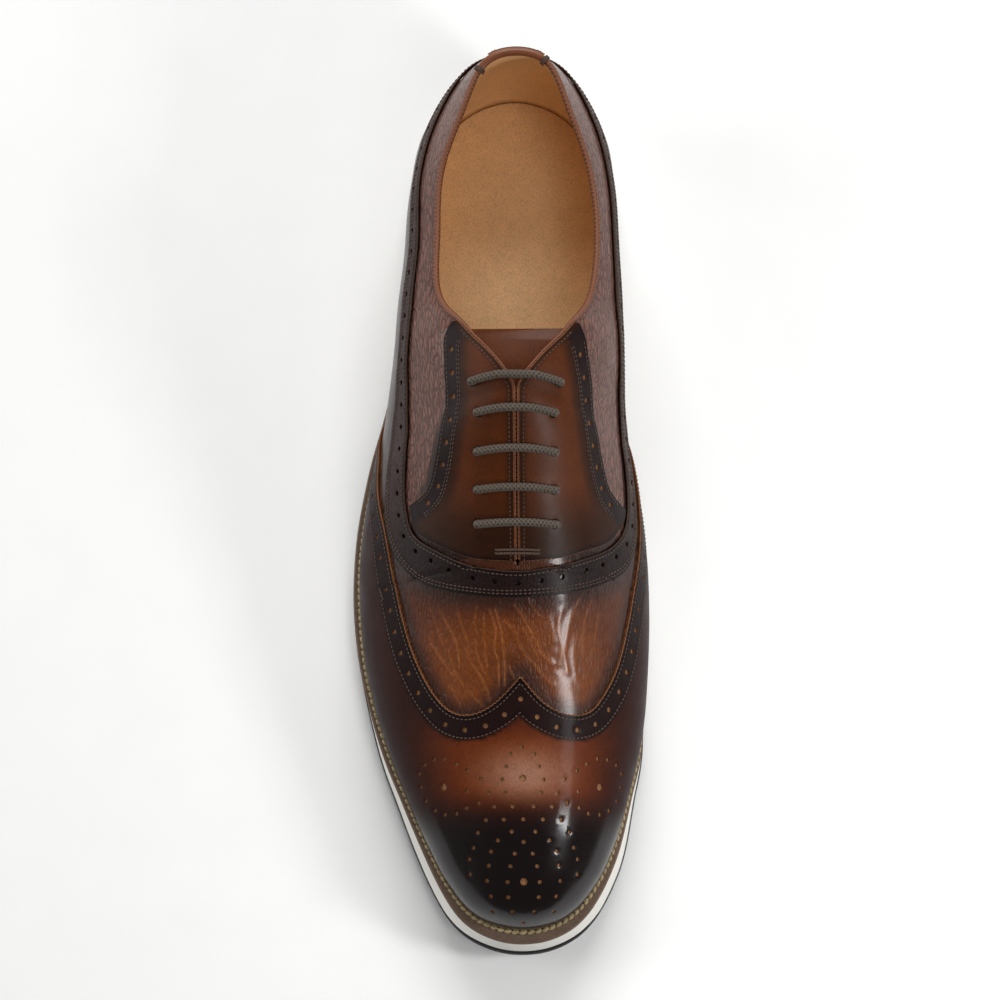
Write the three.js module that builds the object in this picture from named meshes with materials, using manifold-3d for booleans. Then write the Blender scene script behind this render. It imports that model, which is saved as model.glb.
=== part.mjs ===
import * as THREE from 'three';
import { mergeVertices } from 'three/addons/utils/BufferGeometryUtils.js';
import Module from 'manifold-3d';

// Wing tip brogue shoe, right foot, in millimetres.
// The heel is towards +Y, the toe towards -Y, the inner side of the foot towards +X.

const wasm = await Module();
wasm.setup();

// Last
const LAST_LENGTH = 297.5;
const BALL_WIDTH = 93.8;
const HEEL_WIDTH = 64;
const BACK_HEIGHT = 62;
const INSTEP_HEIGHT = 77.3;
const TOE_HEIGHT = 28.5;
const SLIT_WIDTH = 1.4;

// Sole
const OUTSOLE_THICKNESS = 4;
const MIDSOLE_HEEL = 20;
const MIDSOLE_BALL = 9;
const WELT_THICKNESS = 3;
const WELT_MARGIN = 4.2;
const MIDSOLE_FLARE = 2.6;
const OUTSOLE_LIP = 0.9;
const TOE_SPRING = 10;
const ARCH_RISE = 2.5;
const HEEL_BEVEL = 1.2;
const EDGE_ROUND = 0.8;
const INSOLE_THICKNESS = 4;
const WELT_EASE = 0.4;
// Stations over which the welt's margin goes over from one side to the other
const WELT_BLEND = 1.5;

// Leather
const UPPER_WALL = 2;
const OVERLAY_THICKNESS = 1.1;
const TONGUE_THICKNESS = 2;
const TONGUE_EASE = 0.7;
const GAP = 0.3;

// Laces and binding
const LACE_DIAMETER = 2.8;
const EYELET_RADIUS = 1.9;
const EYELET_SPREAD = 12.4;
const LACE_CLEARANCE = 0.2;
const BINDING_RADIUS = 1.1;
const BINDING_LIFT = 1.8;
const EYELET_FACETS = 6;
const LACE_FACETS = 8;
const LACE_STEPS = 6;
const BINDING_FACETS = 5;
const BINDING_STEPS = 40;

// Sections of the last from the heel seam to the toe tip. at and topAt are shares of the length from the
// heel, forward runs from 0 at the heel over 1 at the instep to 2 at the toe. lateral, medial, ridge, open,
// swell and lean are shares of the width there, height is a share of the height there, and lift and fall are
// shares of the section's own height. turn is the way outwards, in degrees from sideways to backwards.
const COLUMNS = ['at', 'topAt', 'forward', 'lateral', 'medial', 'ridge', 'open', 'height', 'turn',
  'swellLateral', 'swellMedial', 'lift', 'leanLateral', 'leanMedial', 'fall'];
const SECTIONS = [
  [0.000, 0.0135, 0.00, 0.031, -0.031, -0.027, 0.000, 1.000, 90, 0.080, 0.080, 0.33, 0.080, 0.080, 0.30],
  [0.020, 0.029, 0.00, 0.310, 0.248, -0.027, 0.186, 0.984, 54, 0.085, 0.080, 0.34, 0.110, 0.105, 0.29],
  [0.073, 0.087, 0.00, 0.503, 0.438, -0.029, 0.310, 0.927, 18, 0.110, 0.095, 0.35, 0.160, 0.140, 0.28],
  [0.148, 0.151, 0.00, 0.538, 0.464, -0.030, 0.411, 0.855, 4, 0.120, 0.095, 0.36, 0.190, 0.150, 0.27],
  [0.229, 0.222, 0.15, 0.523, 0.432, -0.020, 0.409, 0.800, 0, 0.117, 0.085, 0.36, 0.200, 0.145, 0.27],
  [0.313, 0.296, 0.40, 0.505, 0.393, -0.030, 0.347, 0.822, 0, 0.110, 0.095, 0.36, 0.225, 0.190, 0.25],
  [0.393, 0.346, 0.80, 0.490, 0.353, -0.019, 0.190, 0.947, 0, 0.090, 0.105, 0.37, 0.230, 0.215, 0.17],
  [0.471, 0.417, 1.00, 0.518, 0.382, -0.021, 0.000, 1.000, 0, 0.058, 0.100, 0.38, 0.230, 0.215, 0.05],
  [0.548, 0.521, 1.15, 0.558, 0.419, -0.019, 0.000, 0.937, 0, 0.030, 0.085, 0.40, 0.245, 0.215, 0.02],
  [0.625, 0.615, 1.35, 0.564, 0.435, -0.014, 0.000, 0.905, 0, 0.020, 0.065, 0.43, 0.260, 0.225, 0.00],
  [0.703, 0.699, 1.55, 0.538, 0.430, -0.006, 0.000, 0.907, 0, 0.015, 0.048, 0.46, 0.265, 0.228, 0.00],
  [0.780, 0.780, 1.75, 0.472, 0.409, 0.000, 0.000, 0.941, 0, 0.010, 0.030, 0.48, 0.255, 0.220, 0.00],
  [0.849, 0.849, 1.90, 0.387, 0.358, 0.005, 0.000, 0.967, 0, 0.010, 0.020, 0.50, 0.225, 0.200, 0.00],
  [0.906, 0.906, 2.00, 0.309, 0.307, 0.008, 0.000, 0.965, 0, 0.010, 0.012, 0.52, 0.185, 0.175, 0.00],
  [0.951, 0.951, 2.00, 0.239, 0.245, 0.008, 0.000, 0.793, 0, 0.008, 0.010, 0.54, 0.140, 0.140, 0.00],
  [0.980, 0.980, 2.00, 0.171, 0.177, 0.007, 0.000, 0.593, 0, 0.006, 0.006, 0.55, 0.098, 0.098, 0.00],
  [0.9953, 0.9953, 2.00, 0.085, 0.096, 0.006, 0.000, 0.316, 0, 0.003, 0.003, 0.55, 0.050, 0.052, 0.00],
  [1.000, 1.000, 2.00, -0.005, 0.005, 0.005, 0.000, 0.000, 0, 0.000, 0.000, 0.55, 0.000, 0.000, 0.00],
].map((row) => Object.fromEntries(COLUMNS.map((column, i) => [column, row[i]])));
const TIP = SECTIONS.length - 1;

// Profile of the sole, as shares of the length from the heel
const HEEL_FLAT_FROM = 0.03;
const ARCH_FROM = 0.27;
const ARCH_TO = 0.60;
const PITCH_FROM = 0.20;
const PITCH_TO = 0.62;
const SPRING_FROM = 0.69;
const SPRING_POWER = 1.8;

// How far the welt and the flare below it stand out, as shares of WELT_MARGIN and of MIDSOLE_FLARE
const EDGE_COLUMNS = ['at', 'weltLateral', 'weltMedial', 'flare'];
const EDGE = [
  [0.00, 0.62, 0.62, 0.50],
  [0.15, 0.75, 0.70, 0.45],
  [0.35, 0.90, 0.60, 0.45],
  [0.55, 1.00, 0.45, 0.45],
  [0.70, 1.00, 0.45, 0.50],
  [0.82, 1.05, 0.90, 0.85],
  [0.93, 1.10, 1.10, 1.05],
  [1.00, 1.15, 1.15, 1.20],
].map((row) => Object.fromEntries(EDGE_COLUMNS.map((column, i) => [column, row[i]])));

// Slit, eyelets and tongue, as stations counted along SECTIONS from the heel
const SLIT_FROM = 6.6;
const SLIT_END = 8.85;
const EDGE_TRIM = 0.15;
const FIRST_EYELET = 6.82;
const LAST_EYELET = 8.35;
const EYELET_ROWS = 5;
const TONGUE_TOP = 6.0;
const TONGUE_FOOT = 9.5;
const TONGUE_SIDE = 0.5;
const TONGUE_TAPER = 0.6;
const BINDING_END = 5.75;

// How far cutting forms reach past what they cut, and the step used to measure the surface
const LIP = 5;
const NUDGE = 0.01;

// Panel outlines, in runs that are each one smooth line. A point is [side, station]: side runs from -1 at
// the lateral feather line over 0 at the ridge to 1 at the medial feather line.
const FEATHER_EDGE = 0.975;
const WING_EDGE = [
  [[-1.1, 5.9], [-0.93, 6.1], [-0.80, 6.7], [-0.725, 7.5], [-0.65, 8.1], [-0.60, 8.7], [-0.56, 9.3],
    [-0.51, 9.9], [-0.44, 10.4], [-0.35, 10.72], [-0.24, 10.8], [-0.12, 10.65], [0, 10.3]],
  [[0, 10.3], [0.12, 10.65], [0.26, 10.8], [0.39, 10.72], [0.49, 10.4], [0.56, 10.0], [0.62, 9.4],
    [0.68, 8.7], [0.75, 8.0], [0.80, 7.3], [0.85, 6.7], [0.94, 6.1], [1.1, 5.9]],
  [[1.1, 5.9], [1.1, TIP + 0.5]],
  [[1.1, TIP + 0.5], [-1.1, TIP + 0.5]],
  [[-1.1, TIP + 0.5], [-1.1, 5.9]],
];
const BAND_UPPER = [[-0.30, 0.62], [-0.29, 1.5], [-0.25, 2.4], [-0.17, 3.4], [-0.15, 4.4], [-0.19, 5.0],
  [-0.28, 5.45], [-0.385, 5.9], [-0.48, 6.4], [-0.535, 6.9], [-0.54, 7.5], [-0.525, 7.95], [-0.48, 8.3],
  [-0.36, 8.58], [-0.20, 8.83], [0, 8.93], [0.20, 8.83], [0.36, 8.66], [0.50, 8.44], [0.60, 8.1],
  [0.635, 7.6], [0.62, 6.9], [0.56, 6.4], [0.46, 5.9], [0.34, 5.4], [0.23, 4.9], [0.19, 4.3],
  [0.20, 3.4], [0.26, 2.4], [0.29, 1.5], [0.30, 0.62]];
const BAND_LOWER = [[0.42, 0.62], [0.41, 1.5], [0.38, 2.4], [0.32, 3.4], [0.31, 4.3], [0.35, 4.9],
  [0.45, 5.4], [0.555, 5.9], [0.645, 6.4], [0.70, 6.9], [0.715, 7.6], [0.685, 8.2], [0.61, 8.62],
  [0.50, 8.87], [0.34, 9.08], [0.17, 9.2], [0, 9.25], [-0.15, 9.22], [-0.32, 9.1], [-0.46, 8.9],
  [-0.58, 8.5], [-0.645, 8.0], [-0.66, 7.5], [-0.65, 6.9], [-0.59, 6.4], [-0.50, 5.9], [-0.40, 5.45],
  [-0.31, 5.0], [-0.27, 4.4], [-0.29, 3.4], [-0.37, 2.4], [-0.41, 1.5], [-0.42, 0.62]];
const FACING_LATERAL = [
  [[0.1, 5.8], [-0.06, 5.8]],
  [[-0.06, 5.8], [-0.15, 6.1], [-0.27, 6.6], [-0.34, 7.1], [-0.37, 7.5], [-0.41, 7.8], [-0.51, 7.9]],
  [[-0.51, 7.9], [-0.465, 8.26], [-0.35, 8.52], [-0.19, 8.75], [0, 8.82], [0.1, 8.82]],
];
const FACING_MEDIAL = [
  [[-0.1, 8.82], [0, 8.82], [0.19, 8.75], [0.35, 8.58], [0.485, 8.38], [0.585, 8.05], [0.61, 7.85]],
  [[0.61, 7.85], [0.50, 7.72], [0.45, 7.4], [0.41, 7.0], [0.33, 6.6], [0.18, 6.2], [0.06, 5.85]],
  [[0.06, 5.85], [-0.1, 5.85]],
];

// Backstay, as [station, share of the wall's height]
const BACKSTAY = [
  [[-0.75, 1.1], [-0.70, 0.92], [-0.50, 0.78], [-0.42, 0.55], [-0.50, 0.3], [-0.58, -0.1]],
  [[0.58, -0.1], [0.50, 0.3], [0.42, 0.55], [0.50, 0.78], [0.70, 0.92], [0.75, 1.1]],
];

// Stations where the skin of the upper has an edge loop, and steps up the wall
const STATIONS = [];
for (let u = 0; u < 3; u += 1 / 3) STATIONS.push(u);
for (let u = 3; u < TIP; u += 0.5) STATIONS.push(u);
STATIONS.push(TIP);
const WALL_STEPS = 10;

function mix(values, share) {
  const i = Math.min(Math.floor(share), values.length - 2);
  return values[i] + (values[i + 1] - values[i]) * (share - i);
}

function smooth(from, to, value) {
  const t = Math.min(1, Math.max(0, (value - from) / (to - from)));
  return t * t * (3 - 2 * t);
}

// Height of the sole's underside and of its top, at a share of the length
function groundLine(at) {
  const middle = (ARCH_FROM + ARCH_TO) / 2;
  const arch = smooth(ARCH_FROM, middle, at) - smooth(middle, ARCH_TO, at);
  const spring = TOE_SPRING * Math.pow(Math.max(0, (at - SPRING_FROM) / (1 - SPRING_FROM)), SPRING_POWER);
  const bevel = HEEL_BEVEL * Math.pow(Math.max(0, 1 - Math.max(0, at) / HEEL_FLAT_FROM), 2);
  return ARCH_RISE * arch + spring + bevel;
}

function seatLine(at) {
  const spring = TOE_SPRING * Math.pow(Math.max(0, (at - SPRING_FROM) / (1 - SPRING_FROM)), SPRING_POWER);
  const midsole = MIDSOLE_HEEL + (MIDSOLE_BALL - MIDSOLE_HEEL) * smooth(PITCH_FROM, PITCH_TO, at);
  return OUTSOLE_THICKNESS + midsole + WELT_THICKNESS + spring;
}

// The four handles of one section on one side: feather line, swell, shoulder and top line
function handles(row, side) {
  const width = mix([HEEL_WIDTH, BALL_WIDTH, BALL_WIDTH], row.forward);
  const height = row.height * mix([BACK_HEIGHT, INSTEP_HEIGHT, TOE_HEIGHT], row.forward);
  const lateral = side < 0;
  const reach = (lateral ? row.lateral : row.medial) * width;
  const swell = (lateral ? row.swellLateral : row.swellMedial) * width;
  const lean = (lateral ? row.leanLateral : row.leanMedial) * width;
  const turn = THREE.MathUtils.degToRad(row.turn);
  const out = new THREE.Vector3(side * Math.cos(turn), Math.sin(turn), 0);
  const feather = new THREE.Vector3(side * reach, -row.at * LAST_LENGTH, seatLine(row.at));
  const top = new THREE.Vector3(row.ridge * width + side * row.open * width, -row.topAt * LAST_LENGTH,
    feather.z + height);
  const swollen = feather.clone().addScaledVector(out, swell);
  swollen.z += row.lift * height;
  const shoulder = top.clone().addScaledVector(out, lean);
  shoulder.z -= row.fall * height;
  return [feather, swollen, shoulder, top];
}

const NET = { [-1]: SECTIONS.map((row) => handles(row, -1)), 1: SECTIONS.map((row) => handles(row, 1)) };

// One handle of the net with its neighbour past the heel seam or past the toe tip
function netPoint(side, index, k) {
  if (index < 0) return NET[-side][-index][k];
  if (index <= TIP) return NET[side][index][k];
  const tip = NET[side][TIP][k];
  const before = NET[-side][2 * TIP - index][k];
  return new THREE.Vector3(before.x, before.y, 2 * tip.z - NET[side][2 * TIP - index][k].z);
}

function netCurve(side, u, k) {
  const i = Math.min(Math.floor(u), TIP - 1);
  const t = u - i;
  const [a, b, c, d] = [-1, 0, 1, 2].map((step) => netPoint(side, i + step, k));
  const blend = (p, q, r, s) => 0.5 * (2 * q + (r - p) * t + (2 * p - 5 * q + 4 * r - s) * t * t
    + (3 * q - p - 3 * r + s) * t * t * t);
  return new THREE.Vector3(blend(a.x, b.x, c.x, d.x), blend(a.y, b.y, c.y, d.y), blend(a.z, b.z, c.z, d.z));
}

function slitHalf(u) {
  return u > SLIT_FROM && u < SLIT_END ? SLIT_WIDTH / 2 : 0;
}

// A point of the upper's outside. along runs from -TIP at the toe along the lateral side to 0 at the heel
// seam and along the medial side to TIP, and v from 0 at the feather line to 1 at the top line or ridge.
function lastPoint(along, v) {
  const side = along < 0 ? -1 : 1;
  const u = Math.min(Math.abs(along), TIP);
  const [a, b, c, d] = [0, 1, 2, 3].map((k) => netCurve(side, u, k));
  const across = netCurve(-side, u, 3);
  const half = Math.max(0, side * (d.x - across.x) / 2) + slitHalf(u);
  const moved = (d.x + across.x) / 2 + side * half - d.x;
  d.x += moved;
  c.x += moved;
  const w = 1 - v;
  return a.multiplyScalar(w * w * w).addScaledVector(b, 3 * w * w * v).addScaledVector(c, 3 * w * v * v)
    .addScaledVector(d, v * v * v);
}

function sideNormal(along, v) {
  const reach = Math.min(Math.abs(along), TIP - 0.05) * Math.sign(along || 1);
  const round = lastPoint(reach + NUDGE, v).sub(lastPoint(reach - NUDGE, v));
  const up = lastPoint(reach, Math.min(1, v + NUDGE)).sub(lastPoint(reach, Math.max(0, v - NUDGE)));
  return up.cross(round).normalize();
}

function isClosed(along) {
  return Math.abs(along) >= SLIT_END;
}

function lastNormal(along, v) {
  if (Math.abs(along) >= TIP) return new THREE.Vector3(0, -1, 0);
  const normal = sideNormal(along, v);
  if (v === 1 && isClosed(along)) normal.add(sideNormal(-along, v)).normalize();
  return normal;
}

function skinPoint(along, v, out) {
  return lastPoint(along, v).addScaledVector(lastNormal(along, v), out);
}

// Solids and meshes
function solidOf(geometry) {
  const bare = geometry.clone();
  bare.deleteAttribute('normal');
  bare.deleteAttribute('uv');
  const merged = mergeVertices(bare, 1e-5);
  const index = merged.getIndex().array;
  const kept = [];
  for (let i = 0; i < index.length; i += 3) {
    const [a, b, c] = [index[i], index[i + 1], index[i + 2]];
    if (a !== b && b !== c && c !== a) kept.push(a, b, c);
  }
  return new wasm.Manifold(new wasm.Mesh({
    numProp: 3,
    vertProperties: Float32Array.from(merged.getAttribute('position').array),
    triVerts: Uint32Array.from(kept),
  }));
}

function geometryOf(solid, place = (x, y, z) => new THREE.Vector3(x, y, z)) {
  const { vertProperties, triVerts, numProp } = solid.getMesh();
  const position = new Float32Array(vertProperties.length / numProp * 3);
  for (let i = 0; i < vertProperties.length / numProp; i++) {
    const [x, y, z] = vertProperties.subarray(i * numProp, i * numProp + 3);
    place(x, y, z).toArray(position, i * 3);
  }
  const geometry = new THREE.BufferGeometry();
  geometry.setAttribute('position', new THREE.BufferAttribute(position, 3));
  geometry.setIndex([...triVerts]);
  return geometry;
}

function geometryFrom(points, faces) {
  const geometry = new THREE.BufferGeometry();
  geometry.setAttribute('position', new THREE.Float32BufferAttribute(points.flatMap((p) => p.toArray()), 3));
  geometry.setIndex(faces);
  return geometry;
}

// A closed form from rings that run from the heel seam along the medial side to the toe and back along the
// lateral side. Each ring joins the next, and a strip from side to side closes the first and the last.
function ringForm(rings) {
  const points = rings.flat();
  const size = rings[0].length;
  const at = (ring, i) => ring * size + (i + size) % size;
  const faces = [];
  for (let r = 0; r + 1 < rings.length; r++) {
    for (let i = 0; i < size; i++) {
      faces.push(at(r, i), at(r + 1, i), at(r + 1, i + 1));
      faces.push(at(r, i), at(r + 1, i + 1), at(r, i + 1));
    }
  }
  const last = rings.length - 1;
  for (let i = 0; i < size / 2; i++) {
    if (i > 0) faces.push(at(0, i), at(0, i + 1), at(0, -i));
    if (i > 0) faces.push(at(last, i), at(last, -i), at(last, i + 1));
    if (i + 1 < size / 2) faces.push(at(0, i + 1), at(0, -i - 1), at(0, -i));
    if (i + 1 < size / 2) faces.push(at(last, i + 1), at(last, -i), at(last, -i - 1));
  }
  return geometryFrom(points, faces);
}

const LOOP = [...STATIONS, ...STATIONS.slice(1, -1).reverse().map((u) => -u)];

// The upper's skin moved out by some millimetres, closed over its openings. lip carries it past its edges.
function lastForm(out, lip) {
  const rings = [];
  for (let j = 0; j <= WALL_STEPS; j++) {
    rings.push(LOOP.map((along) => skinPoint(along, j / WALL_STEPS, out)));
  }
  if (lip) {
    const moved = (ring, test, z) => ring.map((p, i) => p.clone().setZ(p.z + (test(LOOP[i]) ? z : 0)));
    const top = rings[WALL_STEPS];
    LOOP.forEach((along, i) => {
      if (slitHalf(Math.abs(along))) top[i].setX(lastPoint(along, 1).x + Math.sign(along) * EDGE_TRIM);
    });
    rings.unshift(moved(rings[0], () => true, -lip));
    rings.push(moved(rings[rings.length - 1], (along) => !isClosed(along), lip));
  }
  return solidOf(ringForm(rings));
}

// Sole
function edgeShare(at, column) {
  const i = Math.max(0, EDGE.findIndex((row) => row.at >= at) - 1);
  const [from, to] = [EDGE[i], EDGE[i + 1]];
  return THREE.MathUtils.lerp(from[column], to[column], smooth(from.at, to.at, at));
}

function featherPoint(along) {
  return lastPoint(along, 0);
}

function featherOut(along) {
  if (Math.abs(along) >= TIP) return new THREE.Vector3(0, -1, 0);
  const around = featherPoint(along + NUDGE).sub(featherPoint(along - NUDGE));
  return new THREE.Vector3(-around.y, around.x, 0).normalize();
}

// A ring of the sole's outline, moved out from the feather line, at the height that level gives there
function soleRing(margin, level) {
  return LOOP.map((along) => {
    const point = featherPoint(along);
    const at = Math.min(1, -point.y / LAST_LENGTH);
    const moved = point.addScaledVector(featherOut(along), margin(at, along));
    moved.z = level(Math.max(0, at));
    return moved;
  });
}

const weltMargin = (at, along) => WELT_MARGIN * edgeShare(at, along < 0 ? 'weltLateral' : 'weltMedial');
const blendedWelt = (at, along) => {
  const [lateral, medial] = [weltMargin(at, -1), weltMargin(at, 1)];
  const toe = 0.5 * smooth(TIP - WELT_BLEND, TIP, Math.abs(along));
  const heel = smooth(-WELT_BLEND, WELT_BLEND, along);
  return THREE.MathUtils.lerp(lateral, medial, along < 0 ? heel + toe : heel - toe);
};
const flareMargin = (at, along) => blendedWelt(at, along) + MIDSOLE_FLARE * edgeShare(at, 'flare');
const lipMargin = (at, along) => flareMargin(at, along) + OUTSOLE_LIP;
const midsoleTop = (at) => seatLine(at) - WELT_THICKNESS;
const midsoleBottom = (at) => groundLine(at) + OUTSOLE_THICKNESS;

function outsole() {
  return ringForm([soleRing((at, along) => lipMargin(at, along) - EDGE_ROUND, groundLine),
    soleRing(lipMargin, (at) => groundLine(at) + EDGE_ROUND),
    soleRing(lipMargin, (at) => midsoleBottom(at) - GAP)]);
}

function midsole() {
  return ringForm([soleRing(flareMargin, midsoleBottom),
    soleRing(blendedWelt, (at) => midsoleTop(at) - GAP)]);
}

const WELT_INSIDE = -(UPPER_WALL + WELT_EASE);

function welt() {
  const top = (at) => seatLine(at) - GAP;
  const ring = ringForm([soleRing(blendedWelt, midsoleTop), soleRing(blendedWelt, top)]);
  const hole = ringForm([soleRing(() => WELT_INSIDE, (at) => midsoleTop(at) - LIP),
    soleRing(() => WELT_INSIDE, (at) => top(at) + LIP)]);
  return geometryOf(solidOf(ring).subtract(solidOf(hole)));
}

function insole() {
  return ringForm([soleRing(() => WELT_INSIDE - GAP, midsoleTop),
    soleRing(() => WELT_INSIDE - GAP, (at) => midsoleTop(at) + INSOLE_THICKNESS)]);
}

function upper() {
  return geometryOf(lastForm(0, 0).subtract(lastForm(-UPPER_WALL, LIP)).subtract(eyeletPins()));
}

// Panels. A panel is cut from a flat sheet that has the skin's own grid, and laid on the skin point by
// point. The sheet is slightly dished, so that each facet of the grid keeps a plane of its own.
const SHEET = { side: 60, station: 18, height: 45, dish: 0.0005, depth: 1, reach: 90 };
const RUN_STEPS = 2;
const RANGE_EASE = 0.4;
const SIDE_STEPS = Array.from({ length: 2 * WALL_STEPS + 1 }, (_, j) => j / WALL_STEPS - 1);

function smoothRuns(runs, place) {
  return runs.flatMap((run) => {
    const points = run.map(place);
    return new THREE.SplineCurve(points).getPoints((points.length - 1) * RUN_STEPS).slice(0, -1);
  });
}

function dished(x, y) {
  return SHEET.dish * (x * x + y * y);
}

function sheet(columns, rows) {
  const points = [];
  for (const depth of [0, SHEET.depth]) {
    for (const y of rows) {
      for (const x of columns) points.push(new THREE.Vector3(x, y, dished(x, y) + depth));
    }
  }
  const at = (layer, j, i) => (layer * rows.length + j) * columns.length + i;
  const faces = [];
  const quad = (a, b, c, d) => faces.push(a, b, c, a, c, d);
  for (let j = 0; j + 1 < rows.length; j++) {
    for (let i = 0; i + 1 < columns.length; i++) {
      quad(at(1, j, i), at(1, j, i + 1), at(1, j + 1, i + 1), at(1, j + 1, i));
      quad(at(0, j, i), at(0, j + 1, i), at(0, j + 1, i + 1), at(0, j, i + 1));
    }
    quad(at(0, j, 0), at(1, j, 0), at(1, j + 1, 0), at(0, j + 1, 0));
    const end = columns.length - 1;
    quad(at(0, j, end), at(0, j + 1, end), at(1, j + 1, end), at(1, j, end));
  }
  const last = rows.length - 1;
  for (let i = 0; i + 1 < columns.length; i++) {
    quad(at(0, 0, i), at(0, 0, i + 1), at(1, 0, i + 1), at(1, 0, i));
    quad(at(0, last, i), at(1, last, i), at(1, last, i + 1), at(0, last, i + 1));
  }
  return solidOf(geometryFrom(points, faces));
}

function cutSheet(columns, rows, outline) {
  const shape = new THREE.Shape(outline);
  const prism = new THREE.ExtrudeGeometry(shape, { depth: SHEET.reach, bevelEnabled: false });
  prism.translate(0, 0, -SHEET.reach / 4);
  return sheet(columns, rows).intersect(solidOf(prism));
}

// A point on the skin, where an open ridge takes the middle between its two sides
function layOn(side, station, out, only = 0) {
  if (Math.abs(side) > 1e-4) return skinPoint(Math.sign(side) * station, 1 - Math.abs(side), out);
  if (only) return skinPoint(only * station, 1, out);
  return skinPoint(-station, 1, out).add(skinPoint(station, 1, out)).multiplyScalar(0.5);
}

// runs bound the panel, sides are the columns it keeps to, base is its inner face's distance from the skin,
// and only names the side whose top edge it follows where the ridge is open.
function panelSolid(runs, { sides = [-FEATHER_EDGE, FEATHER_EDGE], base = GAP, thickness, only = 0 }) {
  const stations = runs.flat().map((point) => point[1]);
  const from = Math.min(...stations) - RANGE_EASE;
  const to = Math.min(TIP, Math.max(...stations) + RANGE_EASE);
  const columns = [sides[0], ...SIDE_STEPS.filter((s) => s > sides[0] && s < sides[1]), sides[1]];
  const rows = [to, ...STATIONS.filter((u) => u > from && u < to).reverse(), from];
  const outline = smoothRuns(runs, ([side, station]) => new THREE.Vector2(side * SHEET.side,
    -station * SHEET.station));
  const flat = cutSheet(columns.map((s) => s * SHEET.side), rows.map((u) => -u * SHEET.station), outline);
  const laid = geometryOf(flat, (x, y, z) => layOn(x / SHEET.side, Math.min(TIP, -y / SHEET.station),
    base + thickness * Math.min(1, Math.max(0, (z - dished(x, y)) / SHEET.depth)), only));
  return solidOf(laid);
}

function wingCap() {
  return geometryOf(panelSolid(WING_EDGE, { thickness: OVERLAY_THICKNESS }));
}

function vampBand() {
  return geometryOf(panelSolid([BAND_UPPER, [BAND_UPPER.at(-1), BAND_LOWER[0]], BAND_LOWER,
    [BAND_LOWER.at(-1), BAND_UPPER[0]]], { thickness: OVERLAY_THICKNESS }));
}

function facing(side) {
  const lateral = side < 0;
  const runs = lateral ? FACING_LATERAL : FACING_MEDIAL;
  const sides = lateral ? [-FEATHER_EDGE, 0] : [0, FEATHER_EDGE];
  const solid = panelSolid([...runs, [runs.at(-1).at(-1), runs[0][0]]],
    { sides, thickness: OVERLAY_THICKNESS, only: side });
  return geometryOf(solid.subtract(eyeletPins()));
}

function backstay() {
  const rows = [1, ...SIDE_STEPS.filter((s) => s > 0 && s < 1).reverse(), 1 - FEATHER_EDGE].reverse();
  const reach = Math.max(...BACKSTAY[1].map((point) => point[0]));
  const stations = STATIONS.filter((u) => u <= reach + RANGE_EASE);
  const columns = [...stations.slice(1).reverse().map((u) => -u), ...stations];
  const outline = smoothRuns([...BACKSTAY, [BACKSTAY.at(-1).at(-1), BACKSTAY[0][0]]],
    ([along, v]) => new THREE.Vector2(-along * SHEET.station, v * SHEET.height));
  const flat = cutSheet(columns.map((u) => u * SHEET.station), rows.map((v) => v * SHEET.height),
    outline.reverse());
  return geometryOf(flat, (x, y, z) => skinPoint(-x / SHEET.station, Math.min(1, y / SHEET.height),
    GAP + OVERLAY_THICKNESS * Math.min(1, Math.max(0, (z - dished(x, y)) / SHEET.depth))));
}

function tongue() {
  const square = [[[-TONGUE_SIDE, TONGUE_TOP], [TONGUE_SIDE, TONGUE_TOP]],
    [[TONGUE_SIDE, TONGUE_TOP], [TONGUE_SIDE * TONGUE_TAPER, TONGUE_FOOT]],
    [[TONGUE_SIDE * TONGUE_TAPER, TONGUE_FOOT], [-TONGUE_SIDE * TONGUE_TAPER, TONGUE_FOOT]],
    [[-TONGUE_SIDE * TONGUE_TAPER, TONGUE_FOOT], [-TONGUE_SIDE, TONGUE_TOP]]];
  return geometryOf(panelSolid(square, { base: -UPPER_WALL - TONGUE_EASE - TONGUE_THICKNESS,
    thickness: TONGUE_THICKNESS }));
}

// Eyelets and laces
function eyeletStation(row) {
  return FIRST_EYELET + (LAST_EYELET - FIRST_EYELET) * row / (EYELET_ROWS - 1);
}

// The share of the wall at which the surface is some millimetres away from the ridge
function wallShare(along, distance) {
  let v = 1;
  let point = lastPoint(along, v);
  for (let walked = 0; walked < distance && v > 0; v -= NUDGE) {
    const next = lastPoint(along, v - NUDGE);
    walked += next.distanceTo(point);
    point = next;
  }
  return v;
}

function eyeletPins() {
  const pins = [];
  for (let row = 0; row < EYELET_ROWS; row++) {
    for (const side of [-1, 1]) {
      const along = side * eyeletStation(row);
      const v = wallShare(along, EYELET_SPREAD);
      const pin = new THREE.CylinderGeometry(EYELET_RADIUS, EYELET_RADIUS, 4 * UPPER_WALL, EYELET_FACETS);
      pin.applyQuaternion(new THREE.Quaternion().setFromUnitVectors(new THREE.Vector3(0, 1, 0),
        lastNormal(along, v)));
      pin.translate(...lastPoint(along, v).toArray());
      pins.push(solidOf(pin));
    }
  }
  return pins.reduce((all, pin) => all.add(pin));
}

function cord(points, radius, steps, sides) {
  const rim = Array.from({ length: sides }, (_, i) => new THREE.Vector2(
    radius * Math.cos(2 * Math.PI * i / sides), radius * Math.sin(2 * Math.PI * i / sides)));
  return new THREE.ExtrudeGeometry(new THREE.Shape(rim), {
    steps, bevelEnabled: false, extrudePath: new THREE.CatmullRomCurve3(points),
  });
}

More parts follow.
